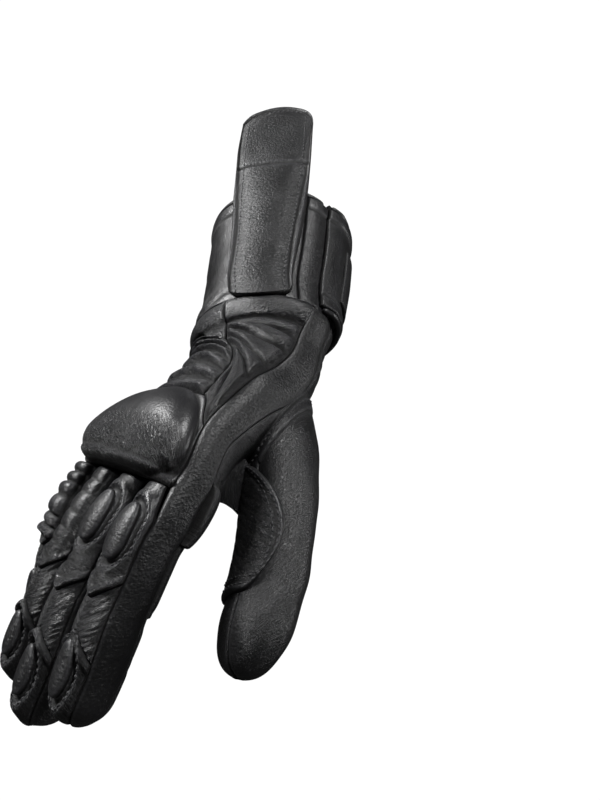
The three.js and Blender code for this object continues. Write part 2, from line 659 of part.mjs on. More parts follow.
function addFinger(finger) {
  const sleeve = sleeves[finger.name];
  const isIndex = finger.name === "index";
  const isLittle = finger.name === "little";
  const tipLine = sleeve.length - 0.35 * sleeve.tip;
  const middleTurn = (backFirst + backLast) / 2;
  const pointed = (turn) => 1 - Math.abs(turn / degree - middleTurn) / (middleTurn - backFirst);
  const upper = (turn) => upperChevron * finger.length + chevronDepth * (pointed(turn) - 1);
  const lower = (turn) => lowerChevron * finger.length - chevronDepth * (pointed(turn) - 1);
  const ownTurns = seamTurns(sleeve, 0.5 * finger.length, spread(backFirst, backLast, 6));

  const creaseTurns = isIndex ? [] : [6, 22];
  const farTurns = isLittle ? [] : [158, 174];
  const ridgeStart = -0.7 * fingerReach;
  const ridgeLift = (run, turn) => {
    const share = (run - ridgeStart) / (ridgeShare * finger.length - ridgeStart);
    const across = (turn / degree - middleTurn) / (middleTurn - backFirst);
    const height = ridgeHeight * Math.sqrt(Math.max(0, 1 - Math.abs(across) ** 3));
    return height * ridged(THREE.MathUtils.clamp(share, 0, 1), ridgeCount);
  };
  const hasRidges = finger.name === "ring" || isLittle;
  const reach = fingerReach - seamGap;
  const baseTurns = [...ownTurns];
  if (!isIndex) baseTurns.unshift(...creaseTurns.map(turnAt));
  if (!isLittle) baseTurns.push(...farTurns.map(turnAt));
  const firstOwn = isIndex ? 0 : creaseTurns.length;
  const lastOwn = firstOwn + ownTurns.length - 2;
  const rootSteps = hasRidges ? 6 : 2;
  const baseLines = [
    ...spread(-reach, -halfGap, rootSteps),
    ...spread(0, 1, hasRidges ? 8 : 3)
      .slice(1)
      .map((t) => (turn) => -halfGap + (upper(turn) - halfGap + halfGap) * t),
  ];
  const inRoot = (row) => row < rootSteps;
  const wide = (row, column) => {
    const turn = (baseTurns[column] + baseTurns[column + 1]) / 2 / degree;
    if (isLittle && turn > backLast - 36) return !inRoot(row);
    return inRoot(row) || (column >= firstOwn && column <= lastOwn);
  };
  // The index finger's base leaves room for the side band before the root.
  const narrowed = (run, turn) => {
    const first = backFirst + (indexRootTurn - backFirst) * THREE.MathUtils.clamp(-run / fingerReach, 0, 1);
    const share = (turn / degree - backFirst) / (backLast - backFirst);
    return share < 1 ? turnAt(first + (backLast - first) * share) : turn;
  };
  const baseSurface = {
    point: (run, turn, lift) => sleeve.point(run, isIndex ? narrowed(run, turn) : turn, lift),
  };
  addPiece(
    `${finger.name}_base`,
    wallMesh(baseSurface, {
      lines: baseLines,
      turns: baseTurns,
      outer: hasRidges ? ridgeLift : flat(0),
      inner: flat(-wall),
      solid: wide,
    }),
    "leather",
  );

  const ribLift = (run, turn) => {
    const share = (run - upper(turn)) / (lower(turn) - upper(turn));
    return ribHeight * ridged(THREE.MathUtils.clamp(share, 0, 1), ribCount);
  };
  const ribLines = betweenLines(upper, lower, 2 * ribCount);
  addPiece(
    `${finger.name}_ribs`,
    wallMesh(sleeve, { lines: ribLines, turns: ownTurns, outer: ribLift, inner: flat(-wall) }),
    "softLeather",
  );
  addPiece(
    `${finger.name}_back`,
    wallMesh(sleeve, { lines: betweenLines(lower, tipLine, 4), turns: ownTurns, ...skin }),
    "leather",
  );

  const frontTurns = spread(backLast, (isIndex ? bandFirst : backFirst) + fullTurn, isIndex ? 6 : 8);
  const frontRows = 9;
  addPiece(
    `${finger.name}_front`,
    wallMesh(sleeve, {
      lines: [...spread(halfGap, tipLine - halfGap, frontRows), ...tipCap(sleeve, tipLine)],
      turns: roundTurns(sleeve, 0.5 * finger.length, frontTurns, isIndex ? 9 : 6),
      solid: (row, column) => column < frontTurns.length - 1 || row > frontRows,
      round: true,
      end: true,
      ...skin,
    }),
    "leather",
  );
}
fingers.forEach(addFinger);

// The side band runs from the wrist over the hand's thumb side and along the index finger.
const bandRootTurn = 21;
const bandSurface = {
  point(run, share, lift) {
    const near = THREE.MathUtils.clamp(1 + (run - body.length) / fingerReach, 0, 1);
    const backTurn = bandBackTurn + (bandRootTurn - bandBackTurn) * near;
    const turns = run > body.length ? [bandFirst, backFirst] : [bandPalmTurn, backTurn];
    const turn = turnAt(turns[0] + (turns[1] - turns[0]) * share);
    const shift = (sleeve, at) => gapTurn(sleeve, at, turn) * (1 - 2 * share);
    if (run <= body.length) return skinSurface.point(run, turn + shift(body, bodyRun(0.2)), lift);
    const along = run - body.length;
    return sleeves.index.point(along, turn + shift(sleeves.index, 0.5 * sleeves.index.length), lift);
  },
};
const indexTipLine = sleeves.index.length - 0.35 * sleeves.index.tip;
const bandLines = [
  ...handLines.map((line) => line(0)),
  ...spread(halfGap, indexTipLine - halfGap, 10).map((run) => body.length + run),
];
const bandWall = wallMesh(bandSurface, { lines: bandLines, turns: spread(0, 1, 3), ...skin });
addPiece("side_band", cutAway(bandWall, thumbHole), "grainLeather");

// Oval pads over the finger backs
const padTurn = 92;
const pads = [
  { name: "index_pad", finger: "index", share: 0.08, length: 1, width: 1 },
  { name: "middle_pad", finger: "middle", share: 0.05, length: 1, width: 1 },
  { name: "index_tip_pad", finger: "index", share: 0.75, length: 1, width: 1 },
  { name: "middle_tip_pad", finger: "middle", share: 0.76, length: 0.95, width: 0.95 },
  { name: "ring_tip_pad", finger: "ring", share: 0.75, length: 0.9, width: 0.9 },
  { name: "little_tip_pad", finger: "little", share: 0.74, length: 0.75, width: 0.85 },
];
pads.forEach((pad) => {
  const sleeve = sleeves[pad.finger];
  const shape = {
    run: pad.share * sleeve.length,
    turn: turnAt(padTurn),
    length: pad.length * ovalLength,
    width: pad.width * ovalWidth,
    base: layerGap,
    height: ovalHeight,
  };
  addPiece(pad.name, padMesh(sleeve, shape), "pad");
});

// Cuff: leather all round but for a fabric gusset on the palm's thumb side, which the flap covers
const placketTurn = 28;
const flapTurn = 6;
const cuffPalmTurn = 205;
const gussetTurn = -62;
const flapPalmTurn = -76;
const cuffLines = betweenLines(0, wristTop, 6);
addPiece("cuff_back", bodyWall(spread(placketTurn, cuffPalmTurn, 12), cuffLines), "leather");
addPiece("cuff_palm", bodyWall(spread(cuffPalmTurn, gussetTurn + fullTurn, 7), cuffLines), "leather");
addPiece("placket", bodyWall(spread(flapTurn, placketTurn, 2), cuffLines), "leather");

const gussetTop = (turn) => {
  const across = (2 * (turn / degree - gussetTurn)) / (flapTurn - gussetTurn) - 1;
  return -gussetRise * Math.sqrt(Math.max(0, 1 - Math.abs(across) ** 3));
};
const gussetWall = bodyWall(
  spread(gussetTurn, flapTurn, 6),
  betweenLines(gussetTop, wristTop, 8),
  flat(-layerGap),
  flat(-layerGap - fabricWall),
);
addPiece("fabric_gusset", gussetWall, "fabric");

// The flap is sewn on beside the placket and stands off the gusset.
const flapEnd = 0.76 * cuffLength;
const flapInner = (run, turn) => {
  const away = THREE.MathUtils.clamp((flapTurn - turn / degree) / 14, 0, 1);
  return layerGap + flapStandOff * away * away * (3 - 2 * away);
};
const flapOuter = (run, turn) => flapInner(run, turn) + wall;
const flapTurns = spread(flapPalmTurn, flapTurn, 8);
addPiece("cuff_flap", bodyWall(flapTurns, betweenLines(0, flapEnd, 6), flapOuter, flapInner), "leather");
const flapPatchWall = wallMesh(body, {
  lines: spread(0, 1, 5).map((t) => (turn) => {
    const across = (2 * (turn / degree - flapPalmTurn)) / (flapTurn - flapPalmTurn) - 1;
    const half = 0.2 * cuffLength * Math.sqrt(Math.max(0.04, 1 - (1.35 * Math.min(0, across + 0.35)) ** 2));
    return 0.42 * cuffLength + half * (2 * t - 1);
  }),
  turns: spread(flapPalmTurn + 6, flapTurn - 22, 6).map(turnAt),
  inner: (run, turn) => flapOuter(run, turn) + layerGap,
  outer: (run, turn) => flapOuter(run, turn) + layerGap + patchThick,
});
addPiece("flap_patch", flapPatchWall, "leather");

// Pipings
const pipingAway = pipingRadius + layerGap;
function piping(name, run, first, last, lift, steps) {
  const turns = spread(turnAt(first), turnAt(last), steps);
  const liftAt = (turn) => (typeof lift === "function" ? lift(run, turn) : lift);
  const points = turns.map((turn) => body.point(run, turn, liftAt(turn)));
  addPiece(name, cordMesh(points, pipingRadius, 6, steps), "piping");
}
piping("rim_piping", -pipingAway, flapTurn + 4, gussetTurn + fullTurn - 4, -wall / 2, 24);
const alongFlap = (run, turn) => flapInner(run, turn) + wall / 2;
piping("flap_piping_top", -pipingAway, flapPalmTurn + 2, flapTurn - 2, alongFlap, 12);
piping("flap_piping_bottom", flapEnd + pipingAway, flapPalmTurn + 2, flapTurn - 2, alongFlap, 12);

// Closure strap: it lies on the cuff and stands up straight beyond the rim, where it is flat.
const strapTurn = 61;
const strapFoot = wristTop;
const strapTop = strapFoot - strapLength;
const strapLift = pipingRadius - wall / 2 + layerGap;
const strapSurface = {
  point(run, share, lift) {
    const low = THREE.MathUtils.smoothstep(run, -0.1 * cuffLength, wristTop);
    const across = (share * strapWidth * (1 - strapTaper * low)) / 2;
    const middle = body.point(run, turnAt(strapTurn), lift);
    const beside = body.point(run, turnAt(strapTurn + 1), lift);
    const tangent = beside.clone().sub(middle);
    const wrapped = body.point(run, turnAt(strapTurn) + (turnAt(1) * across) / tangent.length(), lift);
    tangent.normalize();
    const outwards = new THREE.Vector3().crossVectors(upright.out, tangent);
    const level = middle.addScaledVector(tangent, across);
    const t = THREE.MathUtils.clamp(-run / (0.4 * cuffLength), 0, 1);
    const away = strapAway * Math.max(0, run / strapTop);
    return wrapped.lerp(level, t * t * (3 - 2 * t)).addScaledVector(outwards, away);
  },
};
const strapCorner = (share) => 1 - Math.sqrt(Math.max(0, 1 - Math.abs(share) ** 2.6));
const strapLine = (t) => (share) => {
  const top = strapTop + 0.34 * strapWidth * strapCorner(share);
  const foot = strapFoot - 0.12 * strapWidth * strapCorner(share);
  return foot + (top - foot) * t;
};
addPiece(
  "closure_strap",
  wallMesh(strapSurface, {
    lines: spread(0, 1, 12).map(strapLine),
    turns: [-1, -0.92, -0.75, -0.4, 0, 0.4, 0.75, 0.92, 1],
    outer: flat(strapLift + strapThick),
    inner: flat(strapLift),
  }),
  "grainLeather",
);

export default glove;
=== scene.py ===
"""A long-cuffed leather motorcycle glove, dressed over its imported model.

Inside, lengths are in millimetres and turns round a sleeve in degrees; meshes are in metres.
"""
import math

import bmesh
import bpy
import numpy as np
from mathutils import Matrix, Vector
from mathutils.bvhtree import BVHTree


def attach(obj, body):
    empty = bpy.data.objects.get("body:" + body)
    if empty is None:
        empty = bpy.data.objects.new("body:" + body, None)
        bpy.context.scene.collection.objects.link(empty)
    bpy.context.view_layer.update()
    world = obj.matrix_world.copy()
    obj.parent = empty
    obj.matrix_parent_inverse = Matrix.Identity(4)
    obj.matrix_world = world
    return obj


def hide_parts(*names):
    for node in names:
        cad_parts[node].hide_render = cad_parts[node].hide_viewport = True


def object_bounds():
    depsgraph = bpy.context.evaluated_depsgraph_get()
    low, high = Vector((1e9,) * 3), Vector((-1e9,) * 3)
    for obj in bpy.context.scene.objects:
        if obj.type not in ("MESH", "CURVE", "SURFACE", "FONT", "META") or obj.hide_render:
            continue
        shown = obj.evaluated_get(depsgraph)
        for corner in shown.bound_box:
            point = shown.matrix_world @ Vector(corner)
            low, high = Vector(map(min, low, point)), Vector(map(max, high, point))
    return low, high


bl_info = {
    "name": "Leather Glove",
    "version": (1, 0, 0),
    "blender": (4, 5, 0),
    "location": "View3D > Sidebar > Glove",
    "description": "Makes a long-cuffed leather motorcycle glove, piece by piece",
    "category": "Add Mesh",
}

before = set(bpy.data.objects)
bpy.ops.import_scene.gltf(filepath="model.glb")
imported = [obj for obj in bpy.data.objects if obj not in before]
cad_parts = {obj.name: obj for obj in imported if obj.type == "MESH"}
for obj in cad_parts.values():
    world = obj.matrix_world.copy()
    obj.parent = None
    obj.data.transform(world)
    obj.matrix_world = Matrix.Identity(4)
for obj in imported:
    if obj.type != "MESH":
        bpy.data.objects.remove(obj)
CAD_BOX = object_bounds()
MM = 0.001


def length(name, millimetres, description):
    return bpy.props.FloatProperty(
        name=name, default=millimetres * MM, unit="LENGTH", precision=4, description=description
    )


def angle(name, degrees, description):
    return bpy.props.FloatProperty(
        name=name, default=math.radians(degrees), subtype="ANGLE", description=description
    )


def colour(name, rgb, description):
    return bpy.props.FloatVectorProperty(
        name=name, default=rgb, size=3, min=0, max=1, subtype="COLOR", description=description
    )


def amount(name, value, description):
    return bpy.props.FloatProperty(
        name=name, default=value, min=0, max=1, subtype="FACTOR", description=description
    )


class GloveSizes(bpy.types.PropertyGroup):
    """The sizes of the cuff, hand, thumb and fittings"""

    cuff_length: length("Cuff length", 95, "From the rim to the wrist")
    cuff_width: length("Cuff width", 80, "Across the rim, from the thumb side to the far side")
    cuff_depth: length("Cuff depth", 75, "Through the rim, from back to palm")
    wrist_width: length("Wrist width", 70, "Across the wrist")
    wrist_depth: length("Wrist depth", 50, "Through the wrist")
    hand_length: length("Hand length", 113, "From the wrist to the finger roots")
    palm_width: length("Palm width", 91.5, "Across the four finger roots")
    palm_depth: length("Palm depth", 40, "Through the palm")
    root_depth: length("Root depth", 31, "Through the hand at the finger roots")
    finger_reach: length("Guard's end", 16, "From the guard's lower edge to the finger roots")
    wall: length("Leather", 1.8, "Thickness of the leather")
    wrist_back: angle("Wrist back", 37, "How far the wrist is bent back")
    wrist_outward: angle("Wrist outward", 24, "How far the wrist leans to the little finger")
    knuckle_bend: angle("Knuckle bend", 25, "How far the finger roots are bent to the palm")
    thumb_length: length("Thumb length", 155, "From inside the wrist to the thumb's tip")
    thumb_width: length("Thumb width", 30.5, "Across the thumb")
    thumb_depth: length("Thumb depth", 32.5, "Through the thumb")
    thumb_root_side: length("Thumb root to the side", 25.5, "From the wrist's middle to the thumb's start")
    thumb_root_palm: length("Thumb root to the palm", 0.5, "From the wrist's middle to the palm")
    thumb_spread: angle("Thumb spread", 45.5, "How far the thumb stands off the palm")
    thumb_aside: angle("Thumb aside", 15.5, "How far the thumb stands to the side")
    thumb_curl: angle("Thumb curl", 19.5, "How far the thumb bends back towards the hand")
    guard_height: length("Guard height", 13, "How far the knuckle guard is domed")
    pleat_height: length("Pleat height", 3.8, "How far a wrist pleat stands up")
    oval_length: length("Oval length", 24, "Length of an oval pad")
    oval_width: length("Oval width", 13, "Width of an oval pad")
    oval_height: length("Oval height", 3.2, "How far an oval pad is domed")
    ridge_height: length("Ridge height", 2.4, "How far the stacked ridges of a finger stand up")
    strap_length: length("Strap length", 160, "From its foot on the cuff to its round end")
    strap_width: length("Strap width", 45, "Width of the strap")
    strap_thick: length("Strap thickness", 3, "Thickness of the strap")
    strap_away: length("Strap lean", 7, "How far the strap's top leans away")
    piping_radius: length("Piping radius", 1.7, "Radius of the pipings")
    stitch_pitch: length("Stitch pitch", 3.1, "From one stitch to the next")


class GloveLook(bpy.types.PropertyGroup):
    """The colours and gloss of the leathers, fabric and thread"""

    leather: colour("Leather", (0.0055, 0.0055, 0.006), "Colour of the plain leather")
    worn: colour("Worn leather", (0.036, 0.036, 0.039), "Colour of rubbed leather")
    pad: colour("Pads", (0.0085, 0.0085, 0.0092), "Colour of the knuckle guard and the oval pads")
    fabric: colour("Fabric", (0.006, 0.006, 0.007), "Colour of the gusset")
    thread: colour("Thread", (0.02, 0.02, 0.021), "Colour of the stitching")
    floor: colour("Floor", (0.82, 0.82, 0.83), "Colour of the floor")
    gloss: amount("Gloss", 0.6, "Gloss of the plain leather")


def turned(directions, bend, lean):
    """Out, back and side directions, bent to the palm and leant to the thumb."""
    out, back, side = directions
    out, back = out * np.cos(bend) - back * np.sin(bend), back * np.cos(bend) + out * np.sin(bend)
    side, out = side * np.cos(lean) - out * np.sin(lean), out * np.cos(lean) + side * np.sin(lean)
    return out, back, side


def smooth_value(places, values, at):
    """A value between rows of a table, on a smooth curve that doesn't overshoot."""
    i = np.clip(np.searchsorted(places, at) - 1, 0, len(places) - 2)
    steep = np.diff(values) / np.diff(places)
    slope = np.zeros(len(places))
    before, after = steep[:-1], steep[1:]
    both = before * after > 0
    slope[1:-1][both] = 2 * before[both] * after[both] / (before[both] + after[both])
    span = places[i + 1] - places[i]
    t = np.clip((at - places[i]) / span, 0, 1)
    rise = values[i + 1] - values[i]
    m0, m1 = slope[i] * span, slope[i + 1] * span
    return values[i] + m0 * t + (3 * rise - 2 * m0 - m1) * t**2 + (m0 + m1 - 2 * rise) * t**3


def arrays(*values):
    """The values as arrays of one shape."""
    return np.broadcast_arrays(*(np.asarray(value, float) for value in values))


def unit(ways):
    return ways / np.linalg.norm(ways, axis=-1, keepdims=True)


def smooth_step(t):
    t = np.clip(t, 0, 1)
    return t * t * (3 - 2 * t)


class Sleeve:
    """A tube of leather along a bent spine. Rows hold the run along the spine, bend and lean,
    and the section: half its width, its height to the back, its depth to the palm, how square."""

    KEYS = ("run", "bend", "lean", "half", "back", "palm", "square")

    def __init__(self, start, directions, rows, tip=0.0):
        self.rows = dict(zip(self.KEYS, np.array(rows, float).T))
        self.tip = tip
        self.length = self.rows["run"][-1]
        self.steps = max(8, round(self.length))
        runs = np.linspace(0, self.length, self.steps + 1)
        bends, leans = self.size("bend", runs), self.size("lean", runs)
        turns = [turned(directions, bend, lean) for bend, lean in zip(bends, leans)]
        self.out, self.back, self.side = (np.array(way) for way in zip(*turns))
        middle = self.out[1:] + self.out[:-1]
        middle /= np.linalg.norm(middle, axis=1)[:, None]
        self.spine = np.vstack([start, start + np.cumsum(middle * self.length / self.steps, axis=0)])

    def size(self, key, run):
        return smooth_value(self.rows["run"], self.rows[key], run)

    def station(self, run):
        place = np.clip(run / self.length * self.steps, 0, self.steps)
        i = np.minimum(np.floor(place).astype(int), self.steps - 1)
        t = (place - i)[..., None]

        def mixed(way):
            mix = way[i] * (1 - t) + way[i + 1] * t
            return unit(mix)

        out, back, side = mixed(self.out), mixed(self.back), mixed(self.side)
        at = self.spine[i] * (1 - t) + self.spine[i + 1] * t
        return at + out * (run - np.clip(run, 0, self.length))[..., None], out, back, side

    def point(self, run, turn, lift=0.0):
        """Points of the skin, lifted off it. A closed tip is a rounded end, lifted too."""
        run, turn, lift = arrays(run, turn, lift)
        place, shrink = run, np.ones_like(run)
        if self.tip > 0:
            start = self.length - self.tip
            share = np.clip((run - start) / self.tip, 0, 1)
            place = np.where(run > start, start + share * (self.tip + lift), run)
            shrink = np.sqrt(np.maximum(0, 1 - share**2.4))
        at, _, back, side = self.station(place)
        power = 2 / self.size("square", run)
        c, s = np.cos(np.radians(turn)), np.sin(np.radians(turn))
        rise = np.where(s > 0, self.size("back", run), self.size("palm", run))
        across = (self.size("half", run) + lift) * shrink * np.sign(c) * np.abs(c) ** power
        up = (rise + lift) * shrink * np.sign(s) * np.abs(s) ** power
        return at + side * across[..., None] + back * up[..., None]

    def holds(self, points, lift):
        """True where a point lies inside the skin, with the skin lifted."""
        flat = points.reshape(-1, 3)
        found = np.zeros(len(flat), bool)
        for first in range(0, len(flat), 4000):
            some = flat[first : first + 4000]
            i = ((some[:, None] - self.spine[None]) ** 2).sum(-1).argmin(1)
            run = i / self.steps * self.length
            offset = some - self.spine[i]
            across, up = (offset * self.side[i]).sum(1), (offset * self.back[i]).sum(1)
            rise = np.where(up > 0, self.size("back", run), self.size("palm", run))
            n = self.size("square", run)
            inside = np.abs(across / (self.size("half", run) + lift)) ** n + np.abs(up / (rise + lift)) ** n
            found[first : first + 4000] = inside < 1
        return found.reshape(points.shape[:-1])


def numbers(group):
    """The property group's values: lengths in millimetres, angles in radians."""
    found = {}
    for key, prop in group.bl_rna.properties.items():
        if prop.type == "FLOAT":
            found[key] = getattr(group, key) / (MM if prop.unit == "LENGTH" else 1)
    return found


FINGERS = {
    "index": dict(width=24.5, depth=26.5, length=82, lean=-3, first=15, second=20, third=15),
    "middle": dict(width=24, depth=27, length=94, lean=-4.5, first=13, second=21, third=16),
    "ring": dict(width=22.5, depth=26, length=85, lean=-6.5, first=13, second=21, third=16),
    "little": dict(width=20.5, depth=23, length=60, lean=-8, first=24, second=32, third=32),
}
UPRIGHT = (np.array([0, 0, -1.0]), np.array([-1.0, 0, 0]), np.array([0, -1.0, 0]))

# Half the gap at a seam, the gap between two layers and half the gap between two fingers, in millimetres
HALF_GAP, LAYER_GAP, FINGER_GAP = 0.12, 0.45, 0.3

# Turns of the seams round the hand, and how far three of them wander at the wrist and at shares of the hand
BAND_BACK, BAND_PALM, PLEAT_SIDE, OUTER_BACK, OUTER_PALM = 32, -17, 58, 150, 214
SEAM_SHARES = (0.1, 0.36, 0.57, 0.85, 1)
PALM_SHIFTS = (0, 2, 10, 12, 8, 0)
BAND_SHIFTS = (-16, -12, -6, -2, 0, 0)
SIDE_SHIFTS = (30, 26, -3, 0, 0, 0)
PLEAT_COUNT, PLEAT_STEEP = 5.98, 0.74
LOBE_TURN, LOBE_HALF = 335, 24

# The knuckle guard's highest place and how far its dome goes from there, as shares of the hand and turns
GUARD_MIDDLE, GUARD_ABOVE, GUARD_BELOW = 0.72, 0.24, 0.155
GUARD_TURN, GUARD_SPREAD = 96, 60

# The rolled fold under the cuff: its height, its middle under the seam and half its width, in millimetres
ROLL_HEIGHT, ROLL_MIDDLE, ROLL_HALF = 3.2, 6.5, 6.8

# Turns of a finger's seams, and the shares of its length where the ribbed insert starts and ends
BACK_FIRST, BACK_LAST, BACK_MIDDLE, BAND_FIRST = 38, 145, 91.5, -34
ROOT_TURN, BAND_ROOT_TURN, OVAL_TURN = 64, 21, 92
UPPER_CHEVRON, LOWER_CHEVRON, CHEVRON_DEPTH = 0.41, 0.56, 10
RIDGE_COUNT = 6

# Turns of the thumb's seams, and of the patch at the crotch and where it is widest
THUMB_SEAM, THUMB_OUTER = 168, -24
PATCH_FIRST, PATCH_LAST, PATCH_SPREAD = 190, 232, 73
PATCH_THICK, PATCH_WIDEST, PATCH_END = 1.6, 0.6, 0.8

# The web's edges: turns round the hand and the thumb where it starts and how far it goes round, and the
# shares of the hand and the thumb where it starts and how much lower its middle hangs
WEB_HAND_TURN, WEB_HAND_ROUND, WEB_THUMB_TURN, WEB_THUMB_ROUND = 4, -76, 190, 116
WEB_HAND, WEB_HAND_LOW, WEB_THUMB, WEB_THUMB_LOW = 0.6, 0.21, 0.42, 0.15

# Turns of the cuff's seams, and shares of its length: the flap's end and the middle of the flap's patch
PLACKET, FLAP, CUFF_PALM, GUSSET, FLAP_PALM = 28, 6, 205, -62, -76
FLAP_END, FLAP_PATCH = 0.76, 0.42
GUSSET_RISE = 12

# The strap: its turn, how much narrower its foot is, how far its foot and top lie aside, where it is
# creased, and how far its stitches lie from its edge
STRAP_TURN, STRAP_TAPER = 61, 0.22
FOOT_ASIDE, TOP_ASIDE = -0.5, 3
STRAP_CREASE = -22
STITCH_INSET = 4.4


class Shape:
    """Sleeves and seam lines of the glove, from its sizes."""

    def __init__(self, sizes):
        s = self.s = sizes
        cl, hl = s["cuff_length"], s["hand_length"]
        cw, cd = s["cuff_width"] / 2, s["cuff_depth"] / 2
        ww, wd = s["wrist_width"] / 2, s["wrist_depth"] / 2
        pw, pd, rd = s["palm_width"] / 2, s["palm_depth"] / 2, s["root_depth"] / 2
        rows = [
            (0, 0, 0, cw, cd, cd, 2.1),
            (0.36 * cl, 0, 0, 0.98 * cw, 0.98 * cd, 0.98 * cd, 2.1),
            (0.62 * cl, 0, 0, 0.94 * cw, 0.98 * cd, 0.9 * cd, 2.1),
            (0.82 * cl, 0, 0, 1.12 * ww, 1.38 * wd, 1.12 * wd, 2.15),
            (cl, 0.1, 0, ww, 1.34 * wd, 0.95 * wd, 2.2),
            (cl + 0.14 * hl, 0.55, 0, ww, 1.6 * pd, 1.25 * pd, 2.25),
            (cl + 0.3 * hl, 1, 0, 0.88 * pw, 1.38 * pd, 1.35 * pd, 2.4),
            (cl + 0.56 * hl, 1, 0.2, 0.95 * pw, 0.95 * pd, 1.15 * pd, 2.6),
            (cl + 0.8 * hl, 1, 1, pw, rd, 1.12 * rd, 3),
            (cl + hl, 1, 1, pw, rd, rd, 3.4),
        ]
        bend, back, outward = s["knuckle_bend"], s["wrist_back"], s["wrist_outward"]
        rows = [
            (run, bend * knuckle - back * wrist, -outward * wrist, *section)
            for run, wrist, knuckle, *section in rows
        ]
        self.body = Sleeve(np.array([0, 0, cl]), UPRIGHT, rows)
        self.wrist_top = 0.8 * cl
        self.guard_end = self.body.length - s["finger_reach"]
        self.seam_runs = np.array([self.wrist_top] + [self.run(share) for share in SEAM_SHARES])
        at, out, back, side = self.body.station(np.array([self.body.length]))
        roots = (out[0], back[0], side[0])
        place = 0.0
        self.fingers = {}
        for name, finger in FINGERS.items():
            start = at[0] + side[0] * (pw - place - finger["width"] / 2)
            self.fingers[name] = self.finger(finger, start, roots)
            place += finger["width"]
        self.thumb = self.make_thumb()

    def run(self, share):
        return self.s["cuff_length"] + share * self.s["hand_length"]

    def finger(self, finger, start, roots):
        bends = np.radians([0, finger["first"], finger["second"], finger["third"]])
        half, depth = finger["width"] / 2 - FINGER_GAP, finger["depth"] / 2
        table = [
            (0, 0, 1, 1, 1),
            (0.12, 1, 1, 1, 1),
            (0.38, 1, 1, 1, 1),
            (0.52, 2, 1.02, 1.03, 1),
            (0.7, 2, 0.97, 0.95, 0.97),
            (0.85, 3, 0.94, 0.92, 0.94),
            (1, 3, 0.88, 0.84, 0.88),
        ]
        lean = math.radians(finger["lean"])
        rows = [
            (share * finger["length"], bends[k], lean if share else 0, a * half, b * depth, c * depth, 2.3)
            for share, k, a, b, c in table
        ]
        return Sleeve(start, roots, rows, 0.48 * finger["depth"])

    def make_thumb(self):
        s = self.s
        hand = turned(UPRIGHT, -s["wrist_back"], -s["wrist_outward"])
        start = self.body.station(np.array([s["cuff_length"]]))[0][0]
        start = start + hand[2] * s["thumb_root_side"] - hand[1] * s["thumb_root_palm"]
        out, _, side = turned(hand, s["thumb_spread"], s["thumb_aside"])
        directions = (out, side, np.cross(side, out))
        table = [
            (0, 0, 0.5, 0.3, 0.6),
            (0.13, 0, 0.8, 0.45, 0.9),
            (0.3, 0, 1.14, 0.78, 1.12),
            (0.5, 0.1, 1.08, 1.0, 1.05),
            (0.7, 0.6, 1.0, 1.0, 1.0),
            (0.86, 1, 0.97, 0.96, 0.96),
            (1, 1, 0.9, 0.88, 0.88),
        ]
        width, depth, reach = s["thumb_width"] / 2, s["thumb_depth"] / 2, s["thumb_length"]
        rows = [
            (share * reach, 0, -s["thumb_curl"] * curl, a * width, b * depth, c * depth, 2.2)
            for share, curl, a, b, c in table
        ]
        return Sleeve(start, directions, rows, 0.16 * reach)

    def skin(self, run, turn, lift=0.0):
        """The hand's skin, with its seams at constant turns. Three seams wander from them."""
        run, turn, lift = arrays(run, turn, lift)
        at = np.where(turn >= OUTER_PALM, turn - 360, turn)
        palm, band, side = (
            smooth_value(self.seam_runs, np.array(shifts, float), run)
            for shifts in (PALM_SHIFTS, BAND_SHIFTS, SIDE_SHIFTS)
        )

        def between(first, last):
            return np.clip((at - first) / (last - first), 0, 1)

        shift = np.select(
            [at < BAND_PALM, at < BAND_BACK, at < PLEAT_SIDE],
            [
                palm * between(OUTER_PALM - 360, BAND_PALM),
                palm + (band - palm) * between(BAND_PALM, BAND_BACK),
                band + (side - band) * between(BAND_BACK, PLEAT_SIDE),
            ],
            side * (1 - between(PLEAT_SIDE, OUTER_BACK)),
        )
        shift = np.where(run < self.seam_runs[0], 0, shift)
        return self.body.point(run, turn + shift, lift)

    def pleat_start(self, turn):
        return self.run(0.13 - 0.18 * smooth_step((turn - PLEAT_SIDE) / 45))

    def guard_edge(self, turn):
        return self.run(0.61 - 0.11 * smooth_step((turn - BAND_BACK) / (PLEAT_SIDE - BAND_BACK)))

    def thumb_exit(self, turn, lift=0.0):
        """Where lines along the thumb, lifted off its skin, leave the hand."""
        turn = np.asarray(turn, float)
        flat = turn.ravel()
        runs = np.arange(0, 0.75 * self.thumb.length, 1.0)
        inside = self.body.holds(self.thumb.point(runs[:, None], flat[None], lift), LAYER_GAP)
        last = np.where(inside.any(0), runs[len(runs) - 1 - inside[::-1].argmax(0)], 0)
        low, high = last.copy(), last + 1
        for _ in range(6):
            middle = (low + high) / 2
            within = self.body.holds(self.thumb.point(middle, flat, lift), LAYER_GAP)
            low, high = np.where(within, middle, low), np.where(within, high, middle)
        return high.reshape(turn.shape)


def bump(x):
    """A smooth hump from -1 to 1, 1 high."""
    return np.where(np.abs(x) < 1, np.cos(np.pi / 2 * np.clip(x, -1, 1)) ** 2, 0)


def plateau(x, n=3):
    """A hump from -1 to 1 with a broad top and steep ends, 1 high."""
    return np.maximum(0, 1 - np.abs(x) ** n) ** 0.5


def rounded(distance, radius):
    """How far an edge with that radius drops at a distance from it."""
    t = np.clip(distance / radius, 0, 1)
    return -radius * (1 - np.sqrt(1 - (1 - t) ** 2))


def hashed(x, y, seed):
    """A number from -1 to 1 for each whole x and y."""
    n = np.sin(x * 127.1 + y * 311.7 + seed * 74.7) * 43758.5453
    return 2 * (n - np.floor(n)) - 1


